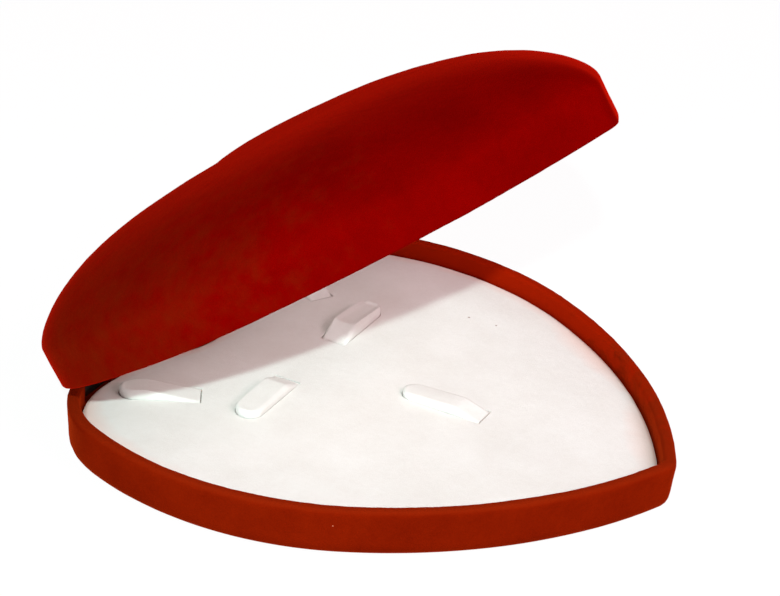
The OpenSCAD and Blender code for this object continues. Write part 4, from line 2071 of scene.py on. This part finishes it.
def heading(azimuth: float, elevation: float) -> Vector:
    """Direction from the case towards a place round it, from angles in degrees.

    Args:
        azimuth: Turn about the upright axis from the case's front.
        elevation: Rise above the level.

    Returns:
        A direction of length 1.
    """
    turn, rise = math.radians(azimuth), math.radians(elevation)
    level = math.cos(rise)
    return Vector((math.sin(turn) * level, -math.cos(turn) * level, math.sin(rise)))


@dataclass(frozen=True)
class Lamp:
    """A square lamp that faces the case.

    Attributes:
        azimuth: Turn about the upright axis from the case's front, in degrees.
        elevation: Rise above the level, in degrees.
        size: Side of the lamp, in metres.
        power: Its power, in watts.
        distance: Its distance from the case's middle.
    """

    name: str
    azimuth: float
    elevation: float
    size: float
    power: float
    colour: tuple[float, float, float]
    distance: float = 1.3

    def build(self) -> None:
        """Puts the lamp up."""
        light = bpy.data.lights.new(self.name, "AREA")
        light.shape, light.size = "SQUARE", self.size
        light.energy, light.color = self.power, self.colour
        lamp = bpy.data.objects.new(self.name, light)
        away = heading(self.azimuth, self.elevation)
        lamp.location = away * self.distance
        lamp.rotation_mode = "QUATERNION"
        lamp.rotation_quaternion = away.to_track_quat("Z", "Y")
        bpy.context.scene.collection.objects.link(lamp)


@dataclass(frozen=True)
class Studio:
    """Camera, floor, world and lamps.

    Attributes:
        distance: Distance of the camera from its aim, before it moves right and up.
        roll: Degrees that the camera leans.
        world_level: Strength of the world's light on the case.
        floor_white: Share of the floor's look that is plain white.
    """

    azimuth: float = -64.99
    elevation: float = 27.76
    roll: float = 5.01
    distance: float = 783.72 * MM
    lens: float = 113.48
    sensor: float = 36.0
    shift_right: float = -10.16 * MM
    shift_up: float = 26.72 * MM
    aim_z: float = 15.0 * MM
    clip: Pair = (0.01, 50.0)
    world_level: float = 0.24
    world_colour: Colour = (0.98, 0.60, 0.645, 1.0)
    floor_size: float = 8.0
    floor_drop: float = 0.05 * MM
    floor_colour: Colour = (0.80, 0.80, 0.79, 1.0)
    floor_white: float = 0.9
    floor_glow: float = 1.05
    lamps: tuple[Lamp, ...] = (
        Lamp("key", azimuth=-67.0, elevation=37.3, size=0.028, power=13.5, colour=(0.75, 1.0, 0.975)),
        Lamp("fill", azimuth=-5.0, elevation=45.0, size=0.75, power=10.0, colour=(0.98, 0.745, 0.80)),
        Lamp("rake", azimuth=-95.0, elevation=9.0, size=0.25, power=4.7, colour=(0.89, 0.965, 1.0)),
    )

    def build(self) -> None:
        """Sets the whole studio up."""
        self._camera()
        self._floor()
        self._world()
        for lamp in self.lamps:
            lamp.build()
        bpy.context.scene.view_settings.view_transform = "Standard"

    def _camera(self) -> None:
        """The camera."""
        back = heading(self.azimuth, self.elevation)
        turn, lean = math.radians(self.azimuth), math.radians(self.roll)
        right = Vector((math.cos(turn), math.sin(turn), 0.0))
        up = back.cross(right)
        place = Vector((0.0, 0.0, self.aim_z)) + back * self.distance
        place += right * self.shift_right + up * self.shift_up
        x_axis = right * math.cos(lean) + up * math.sin(lean)
        y_axis = up * math.cos(lean) - right * math.sin(lean)
        lens = bpy.data.cameras.new("camera")
        lens.lens, lens.sensor_width = self.lens, self.sensor
        lens.clip_start, lens.clip_end = self.clip
        camera = bpy.data.objects.new("camera", lens)
        turned = Matrix((x_axis, y_axis, back)).transposed().to_4x4()
        camera.matrix_world = Matrix.Translation(place) @ turned
        bpy.context.scene.collection.objects.link(camera)
        bpy.context.scene.camera = camera

    @staticmethod
    def _seen_plainly(bench: Bench) -> NodeSocket:
        """1 where a camera, glossy or transmission ray looks.

        Args:
            bench: The bench of a material or world.

        Returns:
            The mask.
        """
        path = bench.add("ShaderNodeLightPath").outputs
        both = bench.math("MAXIMUM", path["Is Camera Ray"], path["Is Glossy Ray"])
        return bench.math("MAXIMUM", both, path["Is Transmission Ray"])

    def _floor(self) -> None:
        """The pale floor, which looks white and keeps the case's shadow."""
        bm = bmesh.new()
        bmesh.ops.create_grid(bm, x_segments=1, y_segments=1, size=self.floor_size / 2)
        bmesh.ops.translate(bm, vec=(0, 0, -self.floor_drop), verts=bm.verts[:])
        floor = to_object("studio_floor", bm)
        made = bpy.data.materials.new("Studio floor")
        bench = Bench.clear(made)
        matte = bench.add("ShaderNodeBsdfDiffuse", {"Color": self.floor_colour}).outputs[0]
        glow = {"Color": WHITE, "Strength": self.floor_glow}
        white = bench.add("ShaderNodeEmission", glow).outputs[0]
        share = bench.math("MULTIPLY", self._seen_plainly(bench), self.floor_white)
        mixed = bench.add("ShaderNodeMixShader", {0: share, 1: matte, 2: white}).outputs[0]
        bench.add("ShaderNodeOutputMaterial", {"Surface": mixed})
        floor.data.materials.append(made)

    def _world(self) -> None:
        """A white surround, seen at full white and lighting at a plain level."""
        world = bpy.data.worlds.new("Studio")
        bpy.context.scene.world = world
        bench = Bench.clear(world)
        dim = {"Color": self.world_colour, "Strength": self.world_level}
        light = bench.add("ShaderNodeBackground", dim).outputs[0]
        plain = {"Color": WHITE, "Strength": 1.0}
        seen = bench.add("ShaderNodeBackground", plain).outputs[0]
        parts = {0: self._seen_plainly(bench), 1: light, 2: seen}
        mixed = bench.add("ShaderNodeMixShader", parts).outputs[0]
        bench.add("ShaderNodeOutputWorld", {"Surface": mixed})


def main() -> None:
    """Loads the frame, sets the studio up and builds each sub-assembly."""
    logging.basicConfig(level=logging.INFO, format="%(name)s %(message)s")
    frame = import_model()
    Studio().build()
    Tray().build()
    Pad().build()
    Lid().build()
    Hinges().build(frame["nodes"])


if __name__ == "__main__":
    main()
